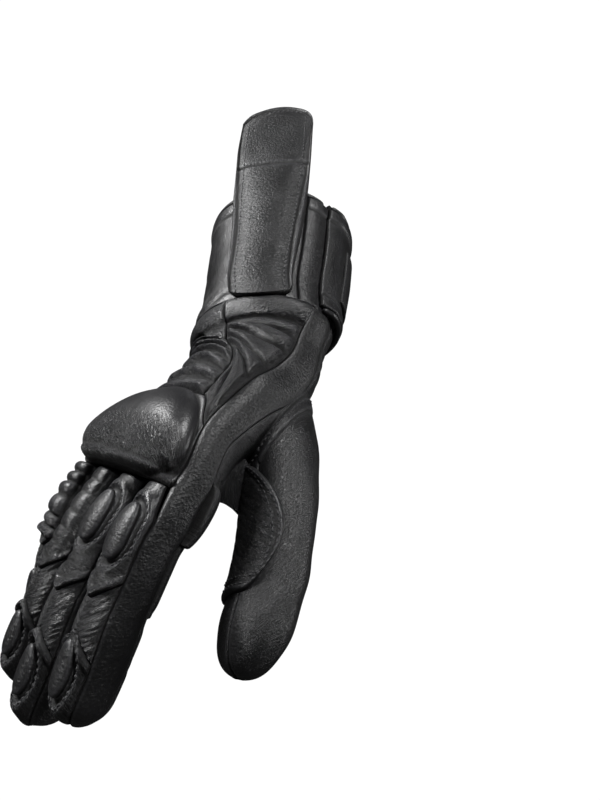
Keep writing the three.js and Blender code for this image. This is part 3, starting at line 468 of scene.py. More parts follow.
def rumple(x, y, seed=0):
    """Smooth noise from -1 to 1 over a plane, with cells of 1."""
    x0, y0 = np.floor(x), np.floor(y)
    tx, ty = smooth_step(x - x0), smooth_step(y - y0)
    low = hashed(x0, y0, seed) * (1 - tx) + hashed(x0 + 1, y0, seed) * tx
    high = hashed(x0, y0 + 1, seed) * (1 - tx) + hashed(x0 + 1, y0 + 1, seed) * tx
    return low * (1 - ty) + high * ty


def creases(x, y, pitch, seed=0, wander=0.5):
    """Round folds across y with sharp valleys, from 0 in a valley to 1, that wander and fade."""
    bent = y + wander * pitch * rumple(x / (3 * pitch), y / (2 * pitch), seed)
    bent = bent + 0.3 * wander * pitch * rumple(x / pitch, y / pitch, seed + 3)
    fold = np.abs(np.sin(np.pi * bent / pitch)) ** 0.6
    fade = 0.55 + 0.45 * rumple(x / (2.5 * pitch), y / pitch, seed + 7)
    return 1 - (1 - fold) * np.clip(fade, 0, 1)


def spaced(distance, cell):
    """Places from 0 to the distance, closer together near both ends."""
    edge = np.cumsum([0.25, 0.3, 0.35, 0.45, 0.6])
    inner = distance - 2 * edge[-1]
    if inner < cell:
        return np.linspace(0, distance, 9)
    count = max(2, round(inner / cell))
    middle = edge[-1] + inner * np.arange(1, count) / count
    return np.concatenate([[0], edge, middle, (distance - edge)[::-1], [distance]])


class Cells:
    """The points of a panel as arrays: run, turn, shares u and v, and distances to its four edges."""

    def __init__(self, surface, first, last, turns, cell):
        def line(value, turn):
            return value(turn) if callable(value) else np.full_like(turn, value)

        middle = np.full(41, (turns[0] + turns[1]) / 2)
        around = np.linspace(turns[0], turns[1], 41)
        starts, ends = line(first, around), line(last, around)
        widths = [path_length(surface(starts + (ends - starts) * v, around)) for v in (0.25, 0.5, 0.75)]
        down = np.linspace(line(first, middle)[0], line(last, middle)[0], 41)
        across, along = max(widths), path_length(surface(down, middle))
        self.columns, self.lines = spaced(across, cell) / across, spaced(along, cell) / along
        self.u, self.v = np.meshgrid(self.columns, self.lines)
        self.turn = turns[0] + (turns[1] - turns[0]) * self.u
        start, end = line(first, self.turn), line(last, self.turn)
        self.run = start + (end - start) * self.v
        base = surface(self.run, self.turn)
        self.left = steps_along(base, 1)
        self.top = steps_along(base, 0)
        self.width = self.left[:, -1:]
        self.height = self.top[-1:]
        self.right, self.bottom = self.width - self.left, self.height - self.top
        self.x, self.y = self.left - self.width / 2, self.top
        self.surface = surface
        self.base = base


def path_length(points):
    return np.linalg.norm(np.diff(points, axis=0), axis=1).sum()


def steps_along(points, axis):
    sizes = np.linalg.norm(np.diff(points, axis=axis), axis=-1)
    zero = np.zeros_like(np.take(sizes, [0], axis=axis))
    return np.concatenate([zero, np.cumsum(sizes, axis=axis)], axis=axis)


def edge_drop(c, sides, radius):
    """The drop of a turned edge along the named sides: l, r, t, b."""
    drop = np.zeros_like(c.run)
    near = {"l": c.left, "r": c.right, "t": c.top, "b": c.bottom}
    soft = radius * np.clip(np.minimum(c.width, c.height + 0 * c.run) / 6, 0.15, 1)
    for side in sides:
        drop = np.minimum(drop, rounded(near[side], soft))
    return drop


def nearest_edge(c, sides):
    near = {"l": c.left, "r": c.right, "t": c.top, "b": c.bottom}
    return np.minimum.reduce([near[side] + 0 * c.run for side in sides])


SHAPE = {}
PIECES = {}


def sew(name, surface, first, last, turns, lift, inner=None, cell=1.0, sides="lrtb", radius=1.1, grain=0,
        crease=0.0, hole=None, material="leather", solid=True):
    """A panel of leather on a surface, as one closed wall: its outer face has the lift and turned edges.
    It replaces the solid with its name, where there is one."""
    c = Cells(surface, first, last, turns, cell)
    raised = lift(c)
    outer = raised + edge_drop(c, sides, radius)
    wall = SHAPE["glove"].s["wall"]
    below = inner(c) if callable(inner) else (-wall if inner is None else inner)
    below = np.minimum(below + 0 * outer, outer - 0.5)
    layers = np.stack([c.surface(c.run, c.turn, outer), c.surface(c.run, c.turn, below)])
    rows, columns = c.run.shape
    bm = bmesh.new()
    bmesh.ops.create_grid(bm, x_segments=columns - 1, y_segments=rows - 1, size=0.5)
    if hole is not None:
        inside = hole(c)
        gone = []
        for face in bm.faces:
            ix = [round((v.co.x + 0.5) * (columns - 1)) for v in face.verts]
            iy = [round((v.co.y + 0.5) * (rows - 1)) for v in face.verts]
            if inside[iy, ix].all():
                gone.append(face)
        bmesh.ops.delete(bm, geom=gone, context="FACES")
    bmesh.ops.solidify(bm, geom=bm.faces[:], thickness=0.1)
    mesh = bpy.data.meshes.new(name)
    bm.to_mesh(mesh)
    bm.free()
    flat = read_points(mesh)
    ix = np.rint((flat[:, 0] + 0.5) * (columns - 1)).astype(int)
    iy = np.rint((flat[:, 1] + 0.5) * (rows - 1)).astype(int)
    layer = (np.abs(flat[:, 2]) > 0.05).astype(int)
    write_points(mesh, layers[layer, iy, ix] * MM)
    turn_outwards(mesh)
    spin = math.radians(grain)
    x, y = c.x * math.cos(spin) + c.y * math.sin(spin), c.y * math.cos(spin) - c.x * math.sin(spin)
    set_uv(mesh, np.stack([x[iy, ix], y[iy, ix]], axis=1))
    strength = crease(c) if callable(crease) else np.full_like(c.run, crease)
    high = raised - 0.5 * (np.roll(raised, 2, 0) + np.roll(raised, -2, 0))
    across = raised - 0.5 * (np.roll(raised, 2, 1) + np.roll(raised, -2, 1))
    rub = np.clip(2.2 * np.maximum(high, 0) + 2.2 * np.maximum(across, 0), 0, 1)
    rub[:3] = rub[-3:] = 0
    rub[:, :3] = rub[:, -3:] = 0
    edge = nearest_edge(c, sides)
    rub = np.maximum(rub, 0.8 * bump((edge - 1.1) / 0.9))
    # Painted shade: hollows and the last 0.6 mm at the panel's turned edges are darkened towards a near-black
    # colour in the material, and roughened.
    hollow = np.clip(-2.5 * high, 0, 1) + np.clip(-2.5 * across, 0, 1)
    hollow[:3] = hollow[-3:] = 0
    hollow[:, :3] = hollow[:, -3:] = 0
    hollow_and_edge_shade = np.maximum(np.clip(hollow, 0, 1), np.clip(1 - edge / 0.6, 0, 1))
    for key, values in (("crease", strength), ("wear", rub), ("painted_shade", hollow_and_edge_shade)):
        set_values(mesh, key, values[iy, ix])
    mesh.shade_smooth()
    finish_piece(place_piece(name, mesh), material, [name] if solid else ())


def place_piece(name, mesh):
    """The mesh as an object of the scene, kept under its plain name."""
    piece = bpy.data.objects.new(f"{name}_sewn", mesh)
    bpy.context.scene.collection.objects.link(piece)
    PIECES[name] = piece
    return piece


def read_points(mesh):
    found = np.empty(len(mesh.vertices) * 3)
    mesh.vertices.foreach_get("co", found)
    return found.reshape(-1, 3)


def write_points(mesh, points):
    mesh.vertices.foreach_set("co", points.astype(np.float32).ravel())
    mesh.update()


def turn_outwards(mesh):
    """Turns a closed mesh's faces outwards, by the sign of its volume."""
    mesh.calc_loop_triangles()
    corners = np.empty(len(mesh.loop_triangles) * 3, np.int32)
    mesh.loop_triangles.foreach_get("vertices", corners)
    a, b, c = (read_points(mesh)[corners.reshape(-1, 3)[:, k]] for k in range(3))
    if (a * np.cross(b, c)).sum() < 0:
        mesh.flip_normals()


def set_uv(mesh, places):
    layer = mesh.uv_layers.new(name="UVMap")
    corners = np.empty(len(mesh.loops), np.int32)
    mesh.loops.foreach_get("vertex_index", corners)
    layer.data.foreach_set("uv", places[corners].astype(np.float32).ravel())


def set_values(mesh, key, values):
    attribute = mesh.attributes.new(key, "FLOAT", "POINT")
    attribute.data.foreach_set("value", np.asarray(values, np.float32))


def finish_piece(piece, material, nodes=()):
    piece.data.materials.append(FINISHES[material])
    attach(piece, "root")
    if nodes:
        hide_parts(*nodes)


class Wire:
    """A socket that takes part in sums."""

    def __init__(self, finish, socket):
        self.finish, self.socket = finish, socket

    def sum(self, operation, *values, clamp=False):
        node = self.finish.tree.nodes.new("ShaderNodeMath")
        node.operation = operation
        node.use_clamp = clamp
        for socket, value in zip(node.inputs, (self, *values)):
            self.finish.put(socket, value)
        return Wire(self.finish, node.outputs[0])

    def __add__(self, other):
        return self.sum("ADD", other)

    def __sub__(self, other):
        return self.sum("SUBTRACT", other)

    def __mul__(self, other):
        return self.sum("MULTIPLY", other)

    __radd__ = __add__
    __rmul__ = __mul__

    def __rsub__(self, other):
        return self.sum("MULTIPLY_ADD", -1, other)

    def __abs__(self):
        return self.sum("ABSOLUTE")

    def clamped(self):
        return self.sum("ADD", 0, clamp=True)

    def within(self, low, high):
        """0 at low and under, 1 at high and over, with a smooth way between."""
        node = self.finish.node("ShaderNodeMapRange", {"interpolation_type": "SMOOTHSTEP"},
                                {0: self, 1: low, 2: high, 3: 0, 4: 1})
        return Wire(self.finish, node.outputs[0])


class Finish:
    """A material, and what builds its nodes."""

    def __init__(self, name):
        self.material = bpy.data.materials.new(name)
        self.material.use_nodes = True
        self.tree = self.material.node_tree
        self.shader = self.tree.nodes["Principled BSDF"]
        places = self.tree.nodes.new("ShaderNodeTexCoord")
        self.object = Wire(self, places.outputs["Object"])
        self.uv = Wire(self, places.outputs["UV"])

    def put(self, socket, value):
        if isinstance(value, Wire):
            self.tree.links.new(value.socket, socket)
        else:
            socket.default_value = value

    def node(self, kind, settings, inputs):
        node = self.tree.nodes.new(kind)
        for key, value in settings.items():
            setattr(node, key, value)
        for key, value in inputs.items():
            self.put(node.inputs[key], value)
        return node

    def scaled(self, places, scale):
        node = self.node("ShaderNodeVectorMath", {"operation": "MULTIPLY"}, {0: places, 1: scale})
        return Wire(self, node.outputs[0])

    def noise(self, places, scale, detail=2.0, roughness=0.5, distortion=0.0):
        inputs = {"Vector": places, "Scale": scale, "Detail": detail, "Roughness": roughness,
                  "Distortion": distortion}
        return Wire(self, self.node("ShaderNodeTexNoise", {}, inputs).outputs[0])

    def cells(self, places, scale, feature="F1", randomness=1.0):
        inputs = {"Vector": places, "Scale": scale, "Randomness": randomness}
        return Wire(self, self.node("ShaderNodeTexVoronoi", {"feature": feature}, inputs).outputs[0])

    def value(self, key):
        node = self.node("ShaderNodeAttribute", {"attribute_name": key}, {})
        return Wire(self, node.outputs["Fac"])

    def mixed(self, share, first, second):
        node = self.node("ShaderNodeMix", {"data_type": "RGBA"}, {0: share, 6: first, 7: second})
        return Wire(self, node.outputs[2])

    def raise_by(self, height):
        """Bump from a height in millimetres."""
        inputs = {"Height": height, "Distance": MM, "Strength": 1.0}
        bumped = self.node("ShaderNodeBump", {}, inputs)
        self.tree.links.new(bumped.outputs[0], self.shader.inputs["Normal"])

    def base(self, colour, roughness, specular=0.5):
        self.put(self.shader.inputs["Base Color"], colour)
        self.put(self.shader.inputs["Roughness"], roughness)
        self.shader.inputs["Specular IOR Level"].default_value = specular


FINISHES = {}


# The near-black colour of painted shade, mixed into the leathers at grooves, hollows, turned edges and
# wrinkle valleys
SHADE = (0.002, 0.002, 0.0022, 1)
PER_METRE = (1 / MM,) * 3


def leather(name, dark, worn, roughness, pebble, pebble_size=1.0, wrinkle=0.3):
    """Leather with pebble grain, fine wrinkles where the crease attribute is high, rubbed edges, and painted
    shade in grooves, hollows, at turned edges and in the valleys of the wrinkles.
    Pebble is the grain's height and pebble_size the size of a grain, in millimetres."""
    f = Finish(name)
    place = f.scaled(f.object, PER_METRE)
    crease, wear, painted_shade = f.value("crease"), f.value("wear"), f.value("painted_shade")
    wobble = f.noise(place, 0.5, 2)
    grain = f.cells(place, 1 / pebble_size, "SMOOTH_F1", 0.9)
    pores = f.noise(place, 2.2, 3, 0.6)
    patches = f.noise(place, 0.045, 3, 0.55)
    field = f.noise(f.scaled(f.uv, (0.16, 0.75, 1)), 1.0, 3, 0.55, 0.9)
    lines = abs(field - 0.5).within(0, 0.11)
    small = f.noise(f.scaled(f.uv, (0.45, 1.5, 1)), 1.0, 2, 0.5, 1.4)
    small_lines = abs(small - 0.5).within(0, 0.12)
    folds = (lines * 0.65 + small_lines * 0.35) * crease
    grain_height = (1 - grain) * (pebble * 3.4) * (1 - crease * 0.45) * (0.45 + patches * 1.1)
    f.raise_by(grain_height + folds * wrinkle * 1.6 + pores * (pebble * 0.9))
    rub = ((wear * (0.35 + wobble) + patches.within(0.52, 0.78) * 0.22) * (0.55 + pores * 0.6)).clamped()
    tone = f.mixed(rub, (*dark, 1), (*worn, 1))
    # Painted shade: grooves, hollows, turned edges and pad undersides, and creased areas most of all in the
    # valleys of the fine wrinkles, are darkened towards SHADE.
    shade = (painted_shade * 0.75 + (1 - folds) * crease * 0.25).clamped()
    mottled = (pores - 0.5) * 0.2 + (patches - 0.5) * 0.3
    f.base(f.mixed(shade, tone, SHADE), (roughness + mottled - wear * 0.06 + painted_shade * 0.45).clamped())
    FINISHES[name] = f.material


def fabric(name, dark):
    """Ribbed stretch fabric."""
    f = Finish(name)
    rib = f.noise(f.scaled(f.uv, (2.2, 0.35, 1)), 1, 2)
    weave = f.noise(f.scaled(f.object, PER_METRE), 1.6, 2)
    f.raise_by(rib * 0.5 + weave * 0.25)
    f.base(f.mixed(weave, (*dark, 1), (*lighter(dark, 2.2), 1)), 0.85 + weave * 0.1, 0.25)
    FINISHES[name] = f.material


def thread(name, dark):
    """Twisted sewing thread."""
    f = Finish(name)
    twist = f.noise(f.scaled(f.object, PER_METRE), 3.5, 1)
    f.raise_by(twist * 0.15)
    f.base(f.mixed(twist, (*dark, 1), (*lighter(dark, 3), 1)), 0.55, 0.4)
    FINISHES[name] = f.material


def lighter(rgb, times):
    return tuple(times * x for x in rgb)


def make_finishes(look):
    rough = 0.75 - 0.6 * look.gloss
    dark, worn, pad = tuple(look.leather), tuple(look.worn), tuple(look.pad)
    leather("leather", dark, worn, rough, 0.055)
    leather("soft_leather", dark, worn, rough - 0.02, 0.045, wrinkle=0.36)
    leather("grain_leather", lighter(dark, 0.8), worn, rough + 0.04, 0.085, pebble_size=1.25)
    leather("padded_leather", pad, worn, rough + 0.02, 0.035, wrinkle=0.4)
    leather("piping_leather", pad, worn, rough - 0.05, 0.03, pebble_size=1.7)
    fabric("gusset_fabric", tuple(look.fabric))
    thread("thread", tuple(look.thread))


class PieceOperator(bpy.types.Operator):
    bl_options = {"REGISTER", "UNDO"}

    def execute(self, context):
        if "glove" not in SHAPE:
            raise RuntimeError("The finishes come first: they set the glove's shape")
        self.make(SHAPE["glove"])
        return {"FINISHED"}


class GLOVE_OT_finishes(bpy.types.Operator):
    """Make the leathers, the fabric and the thread"""

    bl_idname = "glove.finishes"
    bl_label = "Finishes"

    def execute(self, context):
        make_finishes(context.scene.glove_look)
        SHAPE["glove"] = Shape(numbers(context.scene.glove_sizes))
        return {"FINISHED"}


def crown(c, height):
    """A slight belly between a panel's two long edges."""
    return height * (1 - (2 * c.u - 1) ** 2)


class GLOVE_OT_hand(PieceOperator):
    """Sew the back, the sides and the palm of the hand"""

    bl_idname = "glove.hand"
    bl_label = "Hand"

    def make(self, g):
        length = g.body.length

        def guard(c):
            middle = g.run(GUARD_MIDDLE)
            reach = np.where(c.run < middle, GUARD_ABOVE, GUARD_BELOW) * g.s["hand_length"]
            along, across = (c.run - middle) / reach, (c.turn - GUARD_TURN) / GUARD_SPREAD
            dome = np.maximum(0, 1 - along**2 - across**2) ** 0.75
            lip = 1.6 * bump((c.bottom - 2.6) / 3.2)
            folds = 0.5 * creases(c.x + 0.7 * c.y, c.y - 0.5 * c.x, 5.5, 4) * smooth_step((c.v - 0.55) / 0.25)
            return g.s["guard_height"] * dome + lip + folds + 0.3 * rumple(c.x / 14, c.y / 14, 2)

        sew("knuckle_guard", g.skin, g.guard_edge, g.guard_end, (BAND_BACK, OUTER_BACK), guard,
            cell=0.9, radius=1.6, grain=-38, crease=lambda c: smooth_step((c.v - 0.42) / 0.3),
            material="padded_leather")

        def pleats(c):
            share = c.v * PLEAT_COUNT + 0.1 * rumple(c.x / 9, c.y / 9, 5)
            part = share - np.floor(share)
            fold = (1 - (1 - part) ** 2) * (1 - smooth_step((part - PLEAT_STEEP) / (1 - PLEAT_STEEP)))
            ends = smooth_step(c.left / 5) * 0.7 + 0.3
            return g.s["pleat_height"] * 1.15 * fold * ends + 0.2 * rumple(c.x / 7, c.y / 7, 9)

        sew("wrist_pleats", g.skin, g.pleat_start, g.guard_edge, (PLEAT_SIDE, OUTER_BACK), pleats,
            cell=0.7, crease=0.35, material="soft_leather")

        def wrist_roll(c):
            return ROLL_HEIGHT * plateau((c.top - ROLL_MIDDLE) / ROLL_HALF, 2.4)

        def folds(c):
            fan = np.arctan2(c.top - 10, c.width - c.left + 14)
            wave = 1 - np.abs(np.sin(np.pi * (fan * 4.2 + 0.1 * rumple(c.x / 12, c.y / 12, 3)))) ** 0.5
            span = smooth_step((c.top - 13) / 6) * smooth_step(c.bottom / 14) * smooth_step(c.left / 5)
            fanned = 3.4 * (1 - wave) * span * smooth_step(c.right / 4)
            return wrist_roll(c) + fanned + 0.3 * rumple(c.x / 8, c.y / 8, 1)

        sew("wrist_side", g.skin, g.wrist_top, g.guard_edge, (BAND_BACK, PLEAT_SIDE), folds,
            cell=0.8, grain=40, crease=lambda c: 0.5 * smooth_step(c.v * 3) + 0.15, material="soft_leather")

        def wrist(c):
            return wrist_roll(c) + 0.9 * creases(c.x, c.y, 9, 6) * smooth_step(c.top / 12)

        sew("wrist_back", g.skin, g.wrist_top, g.pleat_start, (PLEAT_SIDE, OUTER_BACK), wrist,
            cell=0.8, crease=0.5)

        def outer(c):
            near_wrist = smooth_step((g.run(0.35) - c.run) / 30)
            wrinkled = 1.3 * near_wrist * creases(c.x, c.y, 8.5, 11)
            return crown(c, 1.4) + wrinkled + 0.4 * rumple(c.x / 11, c.y / 11, 8)

        sew("outer_side", g.skin, g.wrist_top, length, (OUTER_BACK, OUTER_PALM), outer, crease=0.35)

        def palm(c):
            lobe_run = (c.run - (length - 13)) / 16
            far = np.hypot(lobe_run, (c.turn - LOBE_TURN) / LOBE_HALF)
            lobe = 4.4 * plateau(np.minimum(1, far), 2.4)
            wrist_folds = 1.0 * smooth_step((g.run(0.2) - c.run) / 25) * creases(c.x, c.y, 8, 13)
            return lobe + wrist_folds + 0.5 * rumple(c.x / 13, c.y / 13, 14)

        def in_thumb(c):
            return g.thumb.holds(c.base, -1.0)

        sew("palm_panel", g.skin, g.wrist_top, length, (OUTER_PALM, BAND_PALM + 360), palm,
            cell=1.1, crease=0.3, hole=in_thumb)

        def band_surface(run, share, lift=0.0):
            run, share, lift = arrays(run, share, lift)
            near = np.clip(1 + (run - length) / g.s["finger_reach"], 0, 1)
            back = BAND_BACK + (BAND_ROOT_TURN - BAND_BACK) * near
            on_hand = g.skin(np.minimum(run, length), BAND_PALM + (back - BAND_PALM) * share, lift)
            finger_turn = BAND_FIRST + (BACK_FIRST - BAND_FIRST) * share
            on_finger = g.fingers["index"].point(run - length, finger_turn, lift)
            blend = smooth_step((run - length + 6) / 12)[..., None]
            return on_hand * (1 - blend) + on_finger * blend

        end = length + g.fingers["index"].length
        sew("side_band", band_surface, g.wrist_top, end, (0, 1),
            lambda c: crown(c, 0.9) + 0.25 * rumple(c.x / 9, c.y / 12, 21), cell=0.95,
            sides="lr", crease=0.12, hole=in_thumb, material="grain_leather")


def pad_window(c, sleeve, run, size):
    """A sunken ring round an oval pad, inside a raised rim."""
    sizes = SHAPE["glove"].s
    length, width = sizes["oval_length"] * size[0] / 2, sizes["oval_width"] * size[1] / 2
    r = np.hypot((c.run - run) / length, c.x / width)
    return 1.1 * np.exp(-(((r - 1.42) / 0.2) ** 2)) - 1.2 * np.exp(-(((r - 1.12) / 0.1) ** 2))


def degree_width(sleeve, run):
    """Millimetres in a degree round a finger, at its back."""
    return np.linalg.norm(sleeve.point(run, OVAL_TURN + 5) - sleeve.point(run, OVAL_TURN - 5), axis=-1) / 10


# Each oval pad: its finger, its share of the finger's length, and its length and width against a whole one
PADS = [
    ("index_pad", "index", 0.08, 0.92, 1.22),
    ("middle_pad", "middle", 0.05, 0.9, 1.18),
    ("index_tip_pad", "index", 0.75, 1, 1),
    ("middle_tip_pad", "middle", 0.76, 0.95, 0.95),
    ("ring_tip_pad", "ring", 0.75, 0.9, 0.9),
    ("little_tip_pad", "little", 0.74, 0.75, 0.85),
]


class GLOVE_OT_fingers(PieceOperator):
    """Sew the four fingers: base, ribs, back and front of each"""

    bl_idname = "glove.fingers"
    bl_label = "Fingers"

    def make(self, g):
        for number, name in enumerate(FINGERS):
            self.make_finger(g, name, number)

    def make_finger(self, g, name, number):
        sleeve = g.fingers[name]
        length = sleeve.length
        reach = g.s["finger_reach"] - 0.4
        window = {finger: (share, a, b) for _, finger, share, a, b in PADS if share < 0.5}.get(name)
        tip_window = {finger: (share, a, b) for _, finger, share, a, b in PADS if share > 0.5}[name]

        def pointed(turn):
            return 1 - np.abs(turn - BACK_MIDDLE) / (BACK_MIDDLE - BACK_FIRST)

        def upper(turn):
            return UPPER_CHEVRON * length + CHEVRON_DEPTH * (pointed(turn) - 1)

        def lower(turn):
            return LOWER_CHEVRON * length - CHEVRON_DEPTH * (pointed(turn) - 1)

        def base_lift(c):
            found = crown(c, 0.8) + 1.4 * bump((c.bottom - 2.0) / 3.2)
            if window:
                found = found + pad_window(c, sleeve, window[0] * length, window[1:])
                found = found + 0.5 * creases(c.x, c.y, 3.6, number) * smooth_step((c.v - 0.7) / 0.1)
            else:
                share = (c.run + reach) / (0.34 * length + reach)
                ridge = np.abs(np.sin(np.pi * RIDGE_COUNT * np.clip(share, 0, 1))) ** 0.45
                ridge = ridge * smooth_step((1 - share) / 0.06)
                height = g.s["ridge_height"] * (0.4 if name == "ring" else 1.2)
                found = found + height * ridge * plateau((c.u - 0.58) / 0.36, 4)
                found = found + 0.55 * creases(c.x, c.y, 4.2, number) * smooth_step((share - 1) / 0.1)
            return found

        def narrowed(run, turn, lift=0.0):
            if name == "index":
                near = np.clip(-run / g.s["finger_reach"], 0, 1)
                first = BACK_FIRST + (ROOT_TURN - BACK_FIRST) * near
                turn = first + (BACK_LAST - first) * (turn - BACK_FIRST) / (BACK_LAST - BACK_FIRST)
            return sleeve.point(run, turn, lift)

        sew(f"{name}_base", narrowed, -reach, upper, (BACK_FIRST, BACK_LAST), base_lift, cell=0.65,
            radius=1.2, crease=lambda c: 0.15 + 0.75 * smooth_step((c.v - 0.55) / 0.2),
            material="soft_leather")

        def ribs(c):
            return crown(c, 0.7) + 1.0 * creases(c.x, c.y, 2.9, 30 + number, 0.8) - 0.8

        sew(f"{name}_ribs", sleeve.point, upper, lower, (BACK_FIRST, BACK_LAST), ribs, cell=0.5,
            crease=0.75, material="soft_leather")

        def back_lift(c):
            edge = 1.3 * bump((c.top - 2.0) / 3.0)
            fine = 0.3 * creases(c.x, c.y, 3.2, 50 + number)
            return crown(c, 0.6) + edge + fine + pad_window(c, sleeve, tip_window[0] * length, tip_window[1:])

        sew(f"{name}_back", sleeve.point, lower, length, (BACK_FIRST, BACK_LAST), back_lift, cell=0.65,
            sides="lrt", radius=1.2, crease=0.55, material="soft_leather")

        first = BAND_FIRST if name == "index" else BACK_FIRST

        def front_lift(c):
            palm = bump((c.turn - 270) / 75)
            joints = bump((c.run / length - 0.42) / 0.1) + bump((c.run / length - 0.7) / 0.09)
            overlap = 1.1 * smooth_step((0.42 * length - c.run) / 0.8) if name == "index" else 0
            return (0.5 * rumple(c.x / 8, c.y / 8, number) + overlap
                    - 1.2 * palm * joints * (1 - creases(c.x, c.y, 5, 60 + number)))

        sew(f"{name}_front", sleeve.point, 0.1, length, (BACK_LAST, first + 360), front_lift, cell=0.95,
            sides="lr", crease=0.3)


class GLOVE_OT_pads(PieceOperator):
    """Dome the oval pads over the finger backs"""

    bl_idname = "glove.pads"
    bl_label = "Oval pads"

    def make(self, g):
        for name, finger, share, a, b in PADS:
            sleeve = g.fingers[finger]
            half_length, half_width = g.s["oval_length"] * a / 2, g.s["oval_width"] * b / 2
            bm = bmesh.new()
            bmesh.ops.create_uvsphere(bm, u_segments=56, v_segments=36, radius=1.0)
            mesh = bpy.data.meshes.new(name)
            bm.to_mesh(mesh)
            bm.free()
            ball = read_points(mesh)
            along, across = ball[:, 0], ball[:, 1]
            run = share * sleeve.length + along * half_length
            turn = OVAL_TURN + across * (1 + 0.16 * along) * half_width / degree_width(sleeve, run)
            up = ball[:, 2]
            height = np.where(up > 0, g.s["oval_height"] * np.abs(up) ** 0.5, 0.9 * up)
            write_points(mesh, sleeve.point(run, turn, 0.5 + height) * MM)
            turn_outwards(mesh)
            set_uv(mesh, np.stack([across * half_width, run], axis=1))
            rim = np.hypot(along, across)
            set_values(mesh, "crease", 0.12 + 0 * rim)
            set_values(mesh, "wear", bump((rim - 0.86) / 0.14))
            # Painted shade: the pad's underside, up to the foot of its dome where it meets the leather, is
            # darkened.
            set_values(mesh, "painted_shade", (up < 0.02) * 1.0)
            mesh.shade_smooth()
            finish_piece(place_piece(name, mesh), "padded_leather", [name])


class GLOVE_OT_thumb(PieceOperator):
    """Sew the thumb, the patch over its crotch and the web beside it"""

    bl_idname = "glove.thumb"
    bl_label = "Thumb"

    def make(self, g):
        thumb = g.thumb
        turns = np.linspace(-40, 400, 221)
        exits = g.thumb_exit(turns)

        def start(turn):
            return np.interp(turn, turns, exits) - 2 * g.s["wall"]

        def plain(c):
            return crown(c, 0.5) + 0.5 * rumple(c.x / 12, c.y / 12, 40)

        def welted(c):
            strip = c.top - 2 * g.s["wall"] - 4.6
            return plain(c) + 0.9 * plateau(strip / 3.6, 4) - 0.6 * bump((np.abs(strip) - 4.3) / 0.8)

        sew("thumb_back", thumb.point, start, thumb.length, (THUMB_OUTER, THUMB_SEAM), welted,
            sides="lr", cell=0.95, crease=0.2)
        sew("thumb_front", thumb.point, start, thumb.length, (THUMB_SEAM, THUMB_OUTER + 360), plain,
            sides="lr", cell=0.95, crease=0.3)

        lifted = g.thumb_exit(turns, LAYER_GAP + PATCH_THICK)

        def patch(down, across, lift=0.0):
            rise = np.sin(np.pi / 2 * (np.maximum(0, down) / PATCH_WIDEST) ** 0.8)
            first = PATCH_FIRST - PATCH_SPREAD * rise
            turn = first + (PATCH_LAST - first) * across
            begin = np.interp(PATCH_FIRST + (PATCH_LAST - PATCH_FIRST) * across, turns, lifted) + 1.0
            corner = 0.06 * np.maximum(0, 1 - 4 * across) ** 2
            end = thumb.length * (PATCH_END + 0.02 * across - corner)
            return thumb.point(begin + (end - begin) * down, turn, lift)

        def patch_lift(c):
            edge = nearest_edge(c, "lb")
            stitched = 0.5 * bump((edge - 1.6) / 1.8) - 0.3 * bump((edge - 4.2) / 0.9)
            wrinkled = 0.5 * creases(c.x - 0.6 * c.y, c.y + c.x, 6, 44) * smooth_step(edge / 8)
            return 2.1 + stitched + wrinkled

        sew("thumb_patch", patch, 0, 1, (0, 1), patch_lift, inner=0.4, cell=0.8, grain=-45,
            crease=lambda c: 0.6 * smooth_step(nearest_edge(c, "lb") / 9) + 0.1, material="soft_leather")
        SHAPE["patch"] = patch
        self.make_web(g)

    def make_web(self, g):
        """The web of leather in the crotch, from the hand's thumb side to the thumb."""

        def web(down, around, lift=0.0):
            down, around, lift = arrays(down, around, lift)
            hand_turn = WEB_HAND_TURN + WEB_HAND_ROUND * around
            thumb_turn = WEB_THUMB_TURN + WEB_THUMB_ROUND * around
            low = np.sin(np.pi * around)
            hand_run = g.run(WEB_HAND + WEB_HAND_LOW * low)
            thumb_run = (WEB_THUMB + WEB_THUMB_LOW * low) * g.thumb.length
            at_hand = g.skin(hand_run, hand_turn, lift - 0.6)
            hand_way = at_hand - g.skin(hand_run + 4, hand_turn, lift - 0.6)
            at_thumb = g.thumb.point(thumb_run, thumb_turn, lift + 0.3)
            thumb_way = g.thumb.point(thumb_run + 4, thumb_turn, lift + 0.3) - at_thumb
            hand_way, thumb_way = unit(hand_way), unit(thumb_way)
            gap = np.linalg.norm(at_thumb - at_hand, axis=-1, keepdims=True)
            t = down[..., None]
            pull = 0.6 * gap
            return (at_hand * (2 * t**3 - 3 * t**2 + 1) + hand_way * pull * (t**3 - 2 * t**2 + t)
                    + at_thumb * (3 * t**2 - 2 * t**3) + thumb_way * pull * (t**3 - t**2))

        sew("thumb_web", web, 0, 1, (0, 1), lambda c: 0.8 * creases(c.x, c.y, 6, 70),
            inner=-1.6, cell=0.9, crease=0.5, solid=False)


def uneven(c, size, seed):
    """Wide and small unevenness of soft leather."""
    return 0.6 * rumple(c.x / size, c.y / size, seed) + 0.2 * rumple(c.x / 6, c.y / 6, seed + 1)


def bound(distance, width=8.0, height=0.9):
    """A folded binding along an edge: raised, with a crease at its seam."""
    raised = height * plateau((distance - width / 2) / (width / 2 + 0.2), 4)
    return raised - 0.5 * bump((distance - width - 0.4) / 0.9)


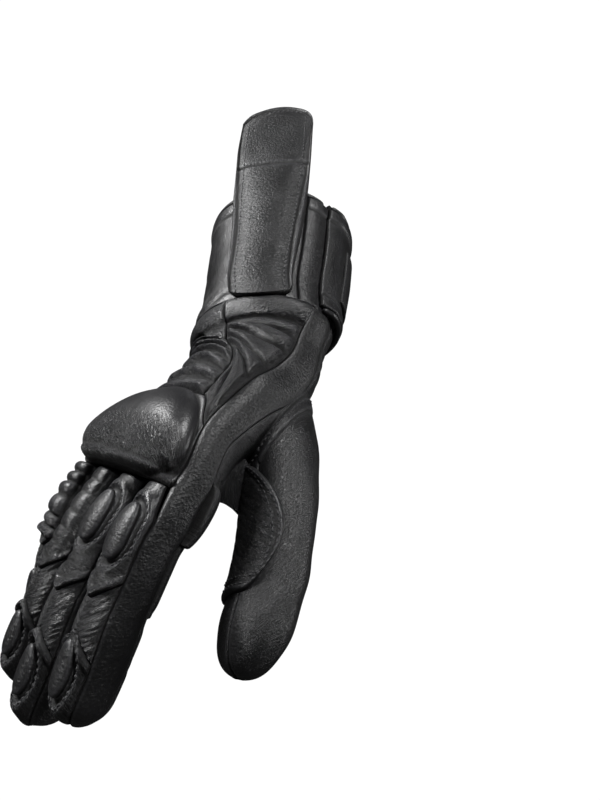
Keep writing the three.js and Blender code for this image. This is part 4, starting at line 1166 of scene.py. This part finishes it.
class GLOVE_OT_cuff(PieceOperator):
    """Sew the cuff: its leather, the gusset, the flap and its pipings"""

    bl_idname = "glove.cuff"
    bl_label = "Cuff"

    def make(self, g):
        cl = g.s["cuff_length"]
        body = g.body.point

        def cuff(c):
            low = smooth_step((c.run - 0.66 * cl) / (0.12 * cl))
            folds = 2.4 * low * creases(c.x, c.y, 8, 80) * smooth_step((c.turn - 70) / 40)
            return bound(c.top) + folds + uneven(c, 22, 81)

        sew("cuff_back", body, HALF_GAP, g.wrist_top, (PLACKET, CUFF_PALM), cuff, cell=1.0, crease=0.12)

        def palm(c):
            return bound(c.top) + uneven(c, 20, 83)

        sew("cuff_palm", body, HALF_GAP, g.wrist_top, (CUFF_PALM, GUSSET + 360), palm, cell=1.2, crease=0.12)
        sew("placket", body, HALF_GAP, g.wrist_top, (FLAP, PLACKET),
            lambda c: bound(c.top) + crown(c, 1.0) + 0.3 * creases(c.x, c.y, 9, 85), cell=0.9, crease=0.15)

        def gusset_top(turn):
            across = 2 * (turn - GUSSET) / (FLAP - GUSSET) - 1
            rise = GUSSET_RISE * np.sqrt(np.maximum(0, 1 - np.abs(across) ** 3))
            return -rise - 1.6 * rumple(turn / 5, turn * 0, 86) * (rise > 2)

        sew("fabric_gusset", body, gusset_top, g.wrist_top, (GUSSET, FLAP),
            lambda c: -0.9 + 1.1 * creases(c.y, c.x, 6, 87), inner=-2.6, cell=1.0, radius=0.5,
            material="gusset_fabric")

        def stand_off(turn):
            return LAYER_GAP + 2.2 * smooth_step((FLAP - turn) / 14)

        end = FLAP_END * cl

        def flap(c):
            hem = bound(c.top) + bound(c.bottom)
            soft = crown(c, 0.8) + 0.4 * rumple(c.x / 12, c.y / 12, 88)
            return stand_off(c.turn) + g.s["wall"] + hem + soft

        sew("cuff_flap", body, HALF_GAP, end, (FLAP_PALM, FLAP), flap,
            inner=lambda c: stand_off(c.turn), cell=0.95, crease=0.1)

        def middle(turn, side):
            across = 2 * (turn - FLAP_PALM) / (FLAP - FLAP_PALM) - 1
            half = 0.2 * cl * np.sqrt(np.maximum(0.04, 1 - (1.35 * np.minimum(0, across + 0.35)) ** 2))
            return FLAP_PATCH * cl + side * half

        def under(c):
            return stand_off(c.turn) + g.s["wall"] + LAYER_GAP

        def patch(c):
            stitched = 0.3 * bump((nearest_edge(c, "lrtb") - 3) / 0.8)
            return under(c) + PATCH_THICK + crown(c, 0.8) - stitched

        sew("flap_patch", body, lambda t: middle(t, -1), lambda t: middle(t, 1),
            (FLAP_PALM + 6, FLAP - 22), patch, inner=under, cell=0.9)
        self.make_pipings(g, stand_off, end)

    def make_pipings(self, g, stand_off, end):
        away = g.s["piping_radius"] + LAYER_GAP
        wall = g.s["wall"]
        around = np.linspace(FLAP + 4, GUSSET + 356, 160)
        self.pipe(g, "rim_piping", g.body.point(-away, around, -wall / 2))
        flap = np.linspace(FLAP_PALM + 2, FLAP - 2, 70)
        self.pipe(g, "flap_piping_top", g.body.point(-away, flap, stand_off(flap) + wall / 2))
        self.pipe(g, "flap_piping_bottom", g.body.point(end + away, flap, stand_off(flap) + wall / 2))

    def pipe(self, g, name, points):
        """A round cord of leather: a ring of corners for each point, closed at both ends."""
        radius, sides = g.s["piping_radius"], 16
        way = unit(np.gradient(points, axis=0))
        up = unit(np.cross(way, [0, 0, 1.0]))
        over = np.cross(up, way)
        bm = bmesh.new()
        bmesh.ops.create_grid(bm, x_segments=sides, y_segments=len(points) - 1, size=0.5)
        mesh = bpy.data.meshes.new(name)
        flat = np.array([v.co[:] for v in bm.verts])
        turn = 2 * np.pi * (flat[:, 0] + 0.5)
        row = np.rint((flat[:, 1] + 0.5) * (len(points) - 1)).astype(int)
        ends = np.minimum(row, len(points) - 1 - row)
        size = radius * np.sqrt(1 - (1 - np.minimum(ends, 3) / 3) ** 2 * 0.95)
        ring = up[row] * np.cos(turn)[:, None] + over[row] * np.sin(turn)[:, None]
        places = points[row] + ring * size[:, None]
        for vertex, place in zip(bm.verts, places):
            vertex.co = Vector(place * MM)
        bmesh.ops.remove_doubles(bm, verts=bm.verts[:], dist=1e-6)
        bmesh.ops.holes_fill(bm, edges=[edge for edge in bm.edges if edge.is_boundary], sides=sides + 1)
        bm.to_mesh(mesh)
        bm.free()
        turn_outwards(mesh)
        zero = np.zeros(len(mesh.vertices))
        set_uv(mesh, np.stack([zero, read_points(mesh)[:, 2] / MM], axis=1))
        # Even amounts on the piping: crease, wear, and a little painted shade all over.
        for key in ("crease", "wear", "painted_shade"):
            set_values(mesh, key, zero + (0.3 if key == "wear" else 0.1))
        mesh.shade_smooth()
        finish_piece(place_piece(name, mesh), "piping_leather", [name])


class GLOVE_OT_strap(PieceOperator):
    """Sew the closure strap, which stands up beyond the rim"""

    bl_idname = "glove.strap"
    bl_label = "Closure strap"

    def make(self, g):
        cl = g.s["cuff_length"]
        foot = g.wrist_top
        top = foot - g.s["strap_length"]
        half = g.s["strap_width"] / 2
        rest = g.s["piping_radius"] - g.s["wall"] / 2 + LAYER_GAP

        def strap(run, share, lift=0.0):
            run, share, lift = arrays(run, share, lift)
            low = smooth_step((run + 0.1 * cl) / (foot + 0.1 * cl))
            high = smooth_step((0.2 * cl - run) / (0.2 * cl - top))
            across = (share * 2 - 1) * half * (1 - STRAP_TAPER * low)
            across = across + FOOT_ASIDE * low + TOP_ASIDE * high
            middle = g.body.point(run, STRAP_TURN, lift)
            tangent = g.body.point(run, STRAP_TURN + 1, lift) - middle
            size = np.linalg.norm(tangent, axis=-1)
            wrapped = g.body.point(run, STRAP_TURN + across / size, lift)
            tangent = tangent / size[..., None]
            outwards = np.cross([0, 0, -1.0], tangent)
            level = middle + tangent * across[..., None]
            t = smooth_step(-run / (0.4 * cl))[..., None]
            away = g.s["strap_away"] * np.maximum(0, run / top)
            return wrapped * (1 - t) + level * t + outwards * away[..., None]

        def corner(share):
            return 1 - np.sqrt(np.maximum(0, 1 - np.abs(2 * share - 1) ** 2.2))

        def end(share):
            return top + 0.42 * g.s["strap_width"] * corner(share)

        def start(share):
            return foot + 2 - 0.2 * g.s["strap_width"] * corner(share)

        def padded(c):
            edge = nearest_edge(c, "lrb")
            binding = 0.9 * bump((edge - 1.7) / 1.9) - 0.55 * bump((edge - STITCH_INSET) / 0.8)
            crease = -0.9 * bump((c.run - STRAP_CREASE) / 2.2) * smooth_step(edge / 5)
            belly = 0.9 * smooth_step((edge - 4) / 8) + 0.35 * rumple(c.x / 13, c.y / 16, 90)
            return rest + g.s["strap_thick"] - 0.6 + binding + crease + belly

        sew("closure_strap", strap, start, end, (0, 1), padded, inner=rest, cell=0.85, sides="lrb",
            radius=1.3, crease=0.25, material="grain_leather")
        SHAPE["strap"] = (strap, foot, end)


# Half a stitch: its share of the pitch, its width and its height in millimetres
STITCH_SHARE, STITCH_WIDE, STITCH_HIGH = 0.36, 0.42, 0.34


class GLOVE_OT_stitches(PieceOperator):
    """Lay the rows of stitches along the seams"""

    bl_idname = "glove.stitches"
    bl_label = "Stitches"

    def make(self, g):
        t = np.linspace(0, 1, 400)
        root = g.thumb.point(g.thumb_exit(t * 360) + 2.6, t * 360, 1.0)
        rows = [("seam_stitches", root, ["thumb_back", "thumb_front"])]
        strap, foot, end = SHAPE["strap"]
        above = 6.0
        inset = STITCH_INSET / g.s["strap_width"]
        side = foot + (end(inset) - foot + above) * t
        across = inset + (1 - 2 * inset) * t
        for run, share in ((side, inset), (side, 1 - inset), (end(across) + STITCH_INSET, across)):
            rows.append(("strap_stitches", strap(run, share, above), ["closure_strap"]))
        patch = SHAPE["patch"]
        for inset in (0.07, 0.15):
            rows += [
                ("patch_stitches", patch(t * (1 - inset), inset * 0.9, 3.0), ["thumb_patch"]),
                ("patch_stitches", patch(1 - inset * 0.7, t * 0.95, 3.0), ["thumb_patch"]),
            ]
        for name, finger, share, a, b in PADS:
            sleeve = g.fingers[finger]
            angle = 2 * np.pi * t
            run = share * sleeve.length + 1.28 * g.s["oval_length"] * a / 2 * np.cos(angle)
            turn = OVAL_TURN + 1.36 * np.sin(angle) * g.s["oval_width"] * b / 2 / degree_width(sleeve, run)
            under = f"{finger}_base" if share < 0.5 else f"{finger}_back"
            rows.append((f"{finger}_stitches", sleeve.point(run, turn, 2.0), [under]))
        grouped = {}
        for name, points, under in rows:
            grouped.setdefault(name, []).append((points, under))
        for name, lines in grouped.items():
            self.lay(g, name, lines)

    def lay(self, g, name, lines):
        pitch = g.s["stitch_pitch"]
        bm = bmesh.new()
        bmesh.ops.create_uvsphere(bm, u_segments=6, v_segments=4, radius=1.0)
        shape = np.array([v.co[:] for v in bm.verts]) * (STITCH_SHARE * pitch, STITCH_WIDE, STITCH_HIGH)
        faces = [[v.index for v in face.verts] for face in bm.faces]
        bm.free()
        corners, polygons = [], []
        for points, under in lines:
            trees = [tree_of(PIECES[piece]) for piece in under]
            far = steps_along(points, 0)
            for at in np.arange(pitch / 2, far[-1], pitch):
                place = np.array([np.interp(at, far, points[:, k]) for k in range(3)])
                ahead = np.array([np.interp(at + 0.5, far, points[:, k]) for k in range(3)])
                found = [tree.find_nearest(Vector(place * MM)) for tree in trees]
                spot, normal, _, _ = min(found, key=lambda hit: hit[3])
                up = np.array(normal)
                way = ahead - place
                way = way - up * (way @ up)
                way /= np.linalg.norm(way) + 1e-9
                turn = np.stack([way, np.cross(up, way), up])
                polygons += [[k + len(corners) * len(shape) for k in face] for face in faces]
                corners.append(shape @ turn + np.array(spot) / MM + up * 0.1)
        mesh = bpy.data.meshes.new(name)
        mesh.from_pydata((np.concatenate(corners) * MM).tolist(), [], polygons)
        mesh.shade_smooth()
        finish_piece(place_piece(name, mesh), "thread")


def tree_of(piece):
    points = read_points(piece.data)
    polygons = [tuple(p.vertices) for p in piece.data.polygons]
    return BVHTree.FromPolygons([Vector(p) for p in points], polygons)


CAMERA_AT = Vector((-226.55, -203.15, -210.55)) * MM
CAMERA_TO = Vector((20.0, -12.57, -14.43)) * MM
CAMERA_ROLL = math.radians(4.83)
CAMERA_LENS = 30.45
DIM_SKY, SEEN_SKY = 0.03, 1.05
FLOOR_DROP, FLOOR_RADIUS = 0.22, 1.6


class GLOVE_OT_stage(bpy.types.Operator):
    """Set up the camera, the soft studio lights and the pale floor"""

    bl_idname = "glove.stage"
    bl_label = "Stage"

    def execute(self, context):
        forward = (CAMERA_TO - CAMERA_AT).normalized()
        right = forward.cross(Vector((0, 0, 1))).normalized()
        up = right.cross(forward)
        right, up = (right * math.cos(CAMERA_ROLL) + up * math.sin(CAMERA_ROLL),
                     up * math.cos(CAMERA_ROLL) - right * math.sin(CAMERA_ROLL))
        data = bpy.data.cameras.new("camera")
        data.lens = CAMERA_LENS
        data.clip_start = 0.01
        camera = bpy.data.objects.new("camera", data)
        way = Matrix((right, up, -forward)).transposed().to_4x4()
        camera.matrix_world = Matrix.Translation(CAMERA_AT) @ way
        context.scene.collection.objects.link(camera)
        context.scene.camera = camera
        middle = Vector((-0.01, 0.02, 0.0))
        for name, way, far, size, power in (
            ("upper_left_light", (-0.85, 0.35, 0.6), 1.1, 0.4, 22),
            ("front_light", (-0.45, -0.9, 0.45), 1.2, 0.3, 13),
            ("low_light", (-0.8, 0.1, -0.6), 1.1, 0.35, 9),
            ("right_light", (0.7, -0.9, 0.1), 1.2, 0.25, 4),
        ):
            lamp = bpy.data.lights.new(name, "AREA")
            lamp.size = size
            lamp.energy = power
            light = bpy.data.objects.new(name, lamp)
            place = middle + Vector(way).normalized() * far
            aim = (place - middle).to_track_quat("Z", "Y").to_matrix().to_4x4()
            light.matrix_world = Matrix.Translation(place) @ aim
            context.scene.collection.objects.link(light)
        self.make_floor(context)
        world = bpy.data.worlds.new("studio")
        world.use_nodes = True
        nodes, links = world.node_tree.nodes, world.node_tree.links
        back = nodes["Background"]
        path, level = nodes.new("ShaderNodeLightPath"), nodes.new("ShaderNodeMapRange")
        links.new(path.outputs["Is Camera Ray"], level.inputs[0])
        level.inputs[3].default_value, level.inputs[4].default_value = DIM_SKY, SEEN_SKY
        links.new(level.outputs[0], back.inputs["Strength"])
        back.inputs["Color"].default_value = (1, 1, 1, 1)
        context.scene.world = world
        context.scene.view_settings.view_transform = "Standard"
        return {"FINISHED"}

    def make_floor(self, context):
        f = Finish("floor")
        seen = Wire(f, f.node("ShaderNodeLightPath", {}, {}).outputs["Is Camera Ray"])
        f.base(f.mixed(seen, (0.05, 0.05, 0.05, 1), (*context.scene.glove_look.floor, 1)), 0.9, 0.1)
        bm = bmesh.new()
        bmesh.ops.create_circle(bm, cap_ends=True, segments=96, radius=FLOOR_RADIUS)
        bmesh.ops.translate(bm, verts=bm.verts[:], vec=(0, 0, CAD_BOX[0][2] - FLOOR_DROP))
        mesh = bpy.data.meshes.new("floor")
        bm.to_mesh(mesh)
        bm.free()
        mesh.materials.append(f.material)
        floor = bpy.data.objects.new("floor", mesh)
        context.scene.collection.objects.link(floor)


class GLOVE_PT_panel(bpy.types.Panel):
    """The glove's pieces, in the order that they are made"""

    bl_idname = "GLOVE_PT_panel"
    bl_label = "Leather Glove"
    bl_space_type = "VIEW_3D"
    bl_region_type = "UI"
    bl_category = "Glove"

    def draw(self, context):
        for step in STEPS:
            self.layout.operator(step.bl_idname)
        for group in (context.scene.glove_sizes, context.scene.glove_look):
            box = self.layout.box()
            for key in group.bl_rna.properties.keys():
                if key not in ("rna_type", "name"):
                    box.prop(group, key)


STEPS = (GLOVE_OT_finishes, GLOVE_OT_hand, GLOVE_OT_fingers, GLOVE_OT_pads, GLOVE_OT_thumb, GLOVE_OT_cuff,
         GLOVE_OT_strap, GLOVE_OT_stitches, GLOVE_OT_stage)
CLASSES = (GloveSizes, GloveLook, *STEPS, GLOVE_PT_panel)


def register():
    for cls in CLASSES:
        bpy.utils.register_class(cls)
    bpy.types.Scene.glove_sizes = bpy.props.PointerProperty(type=GloveSizes)
    bpy.types.Scene.glove_look = bpy.props.PointerProperty(type=GloveLook)


def unregister():
    del bpy.types.Scene.glove_look
    del bpy.types.Scene.glove_sizes
    for cls in reversed(CLASSES):
        bpy.utils.unregister_class(cls)


def main():
    register()
    for step in STEPS:
        group, name = step.bl_idname.split(".")
        getattr(getattr(bpy.ops, group), name)()


if __name__ == "__main__":
    main()
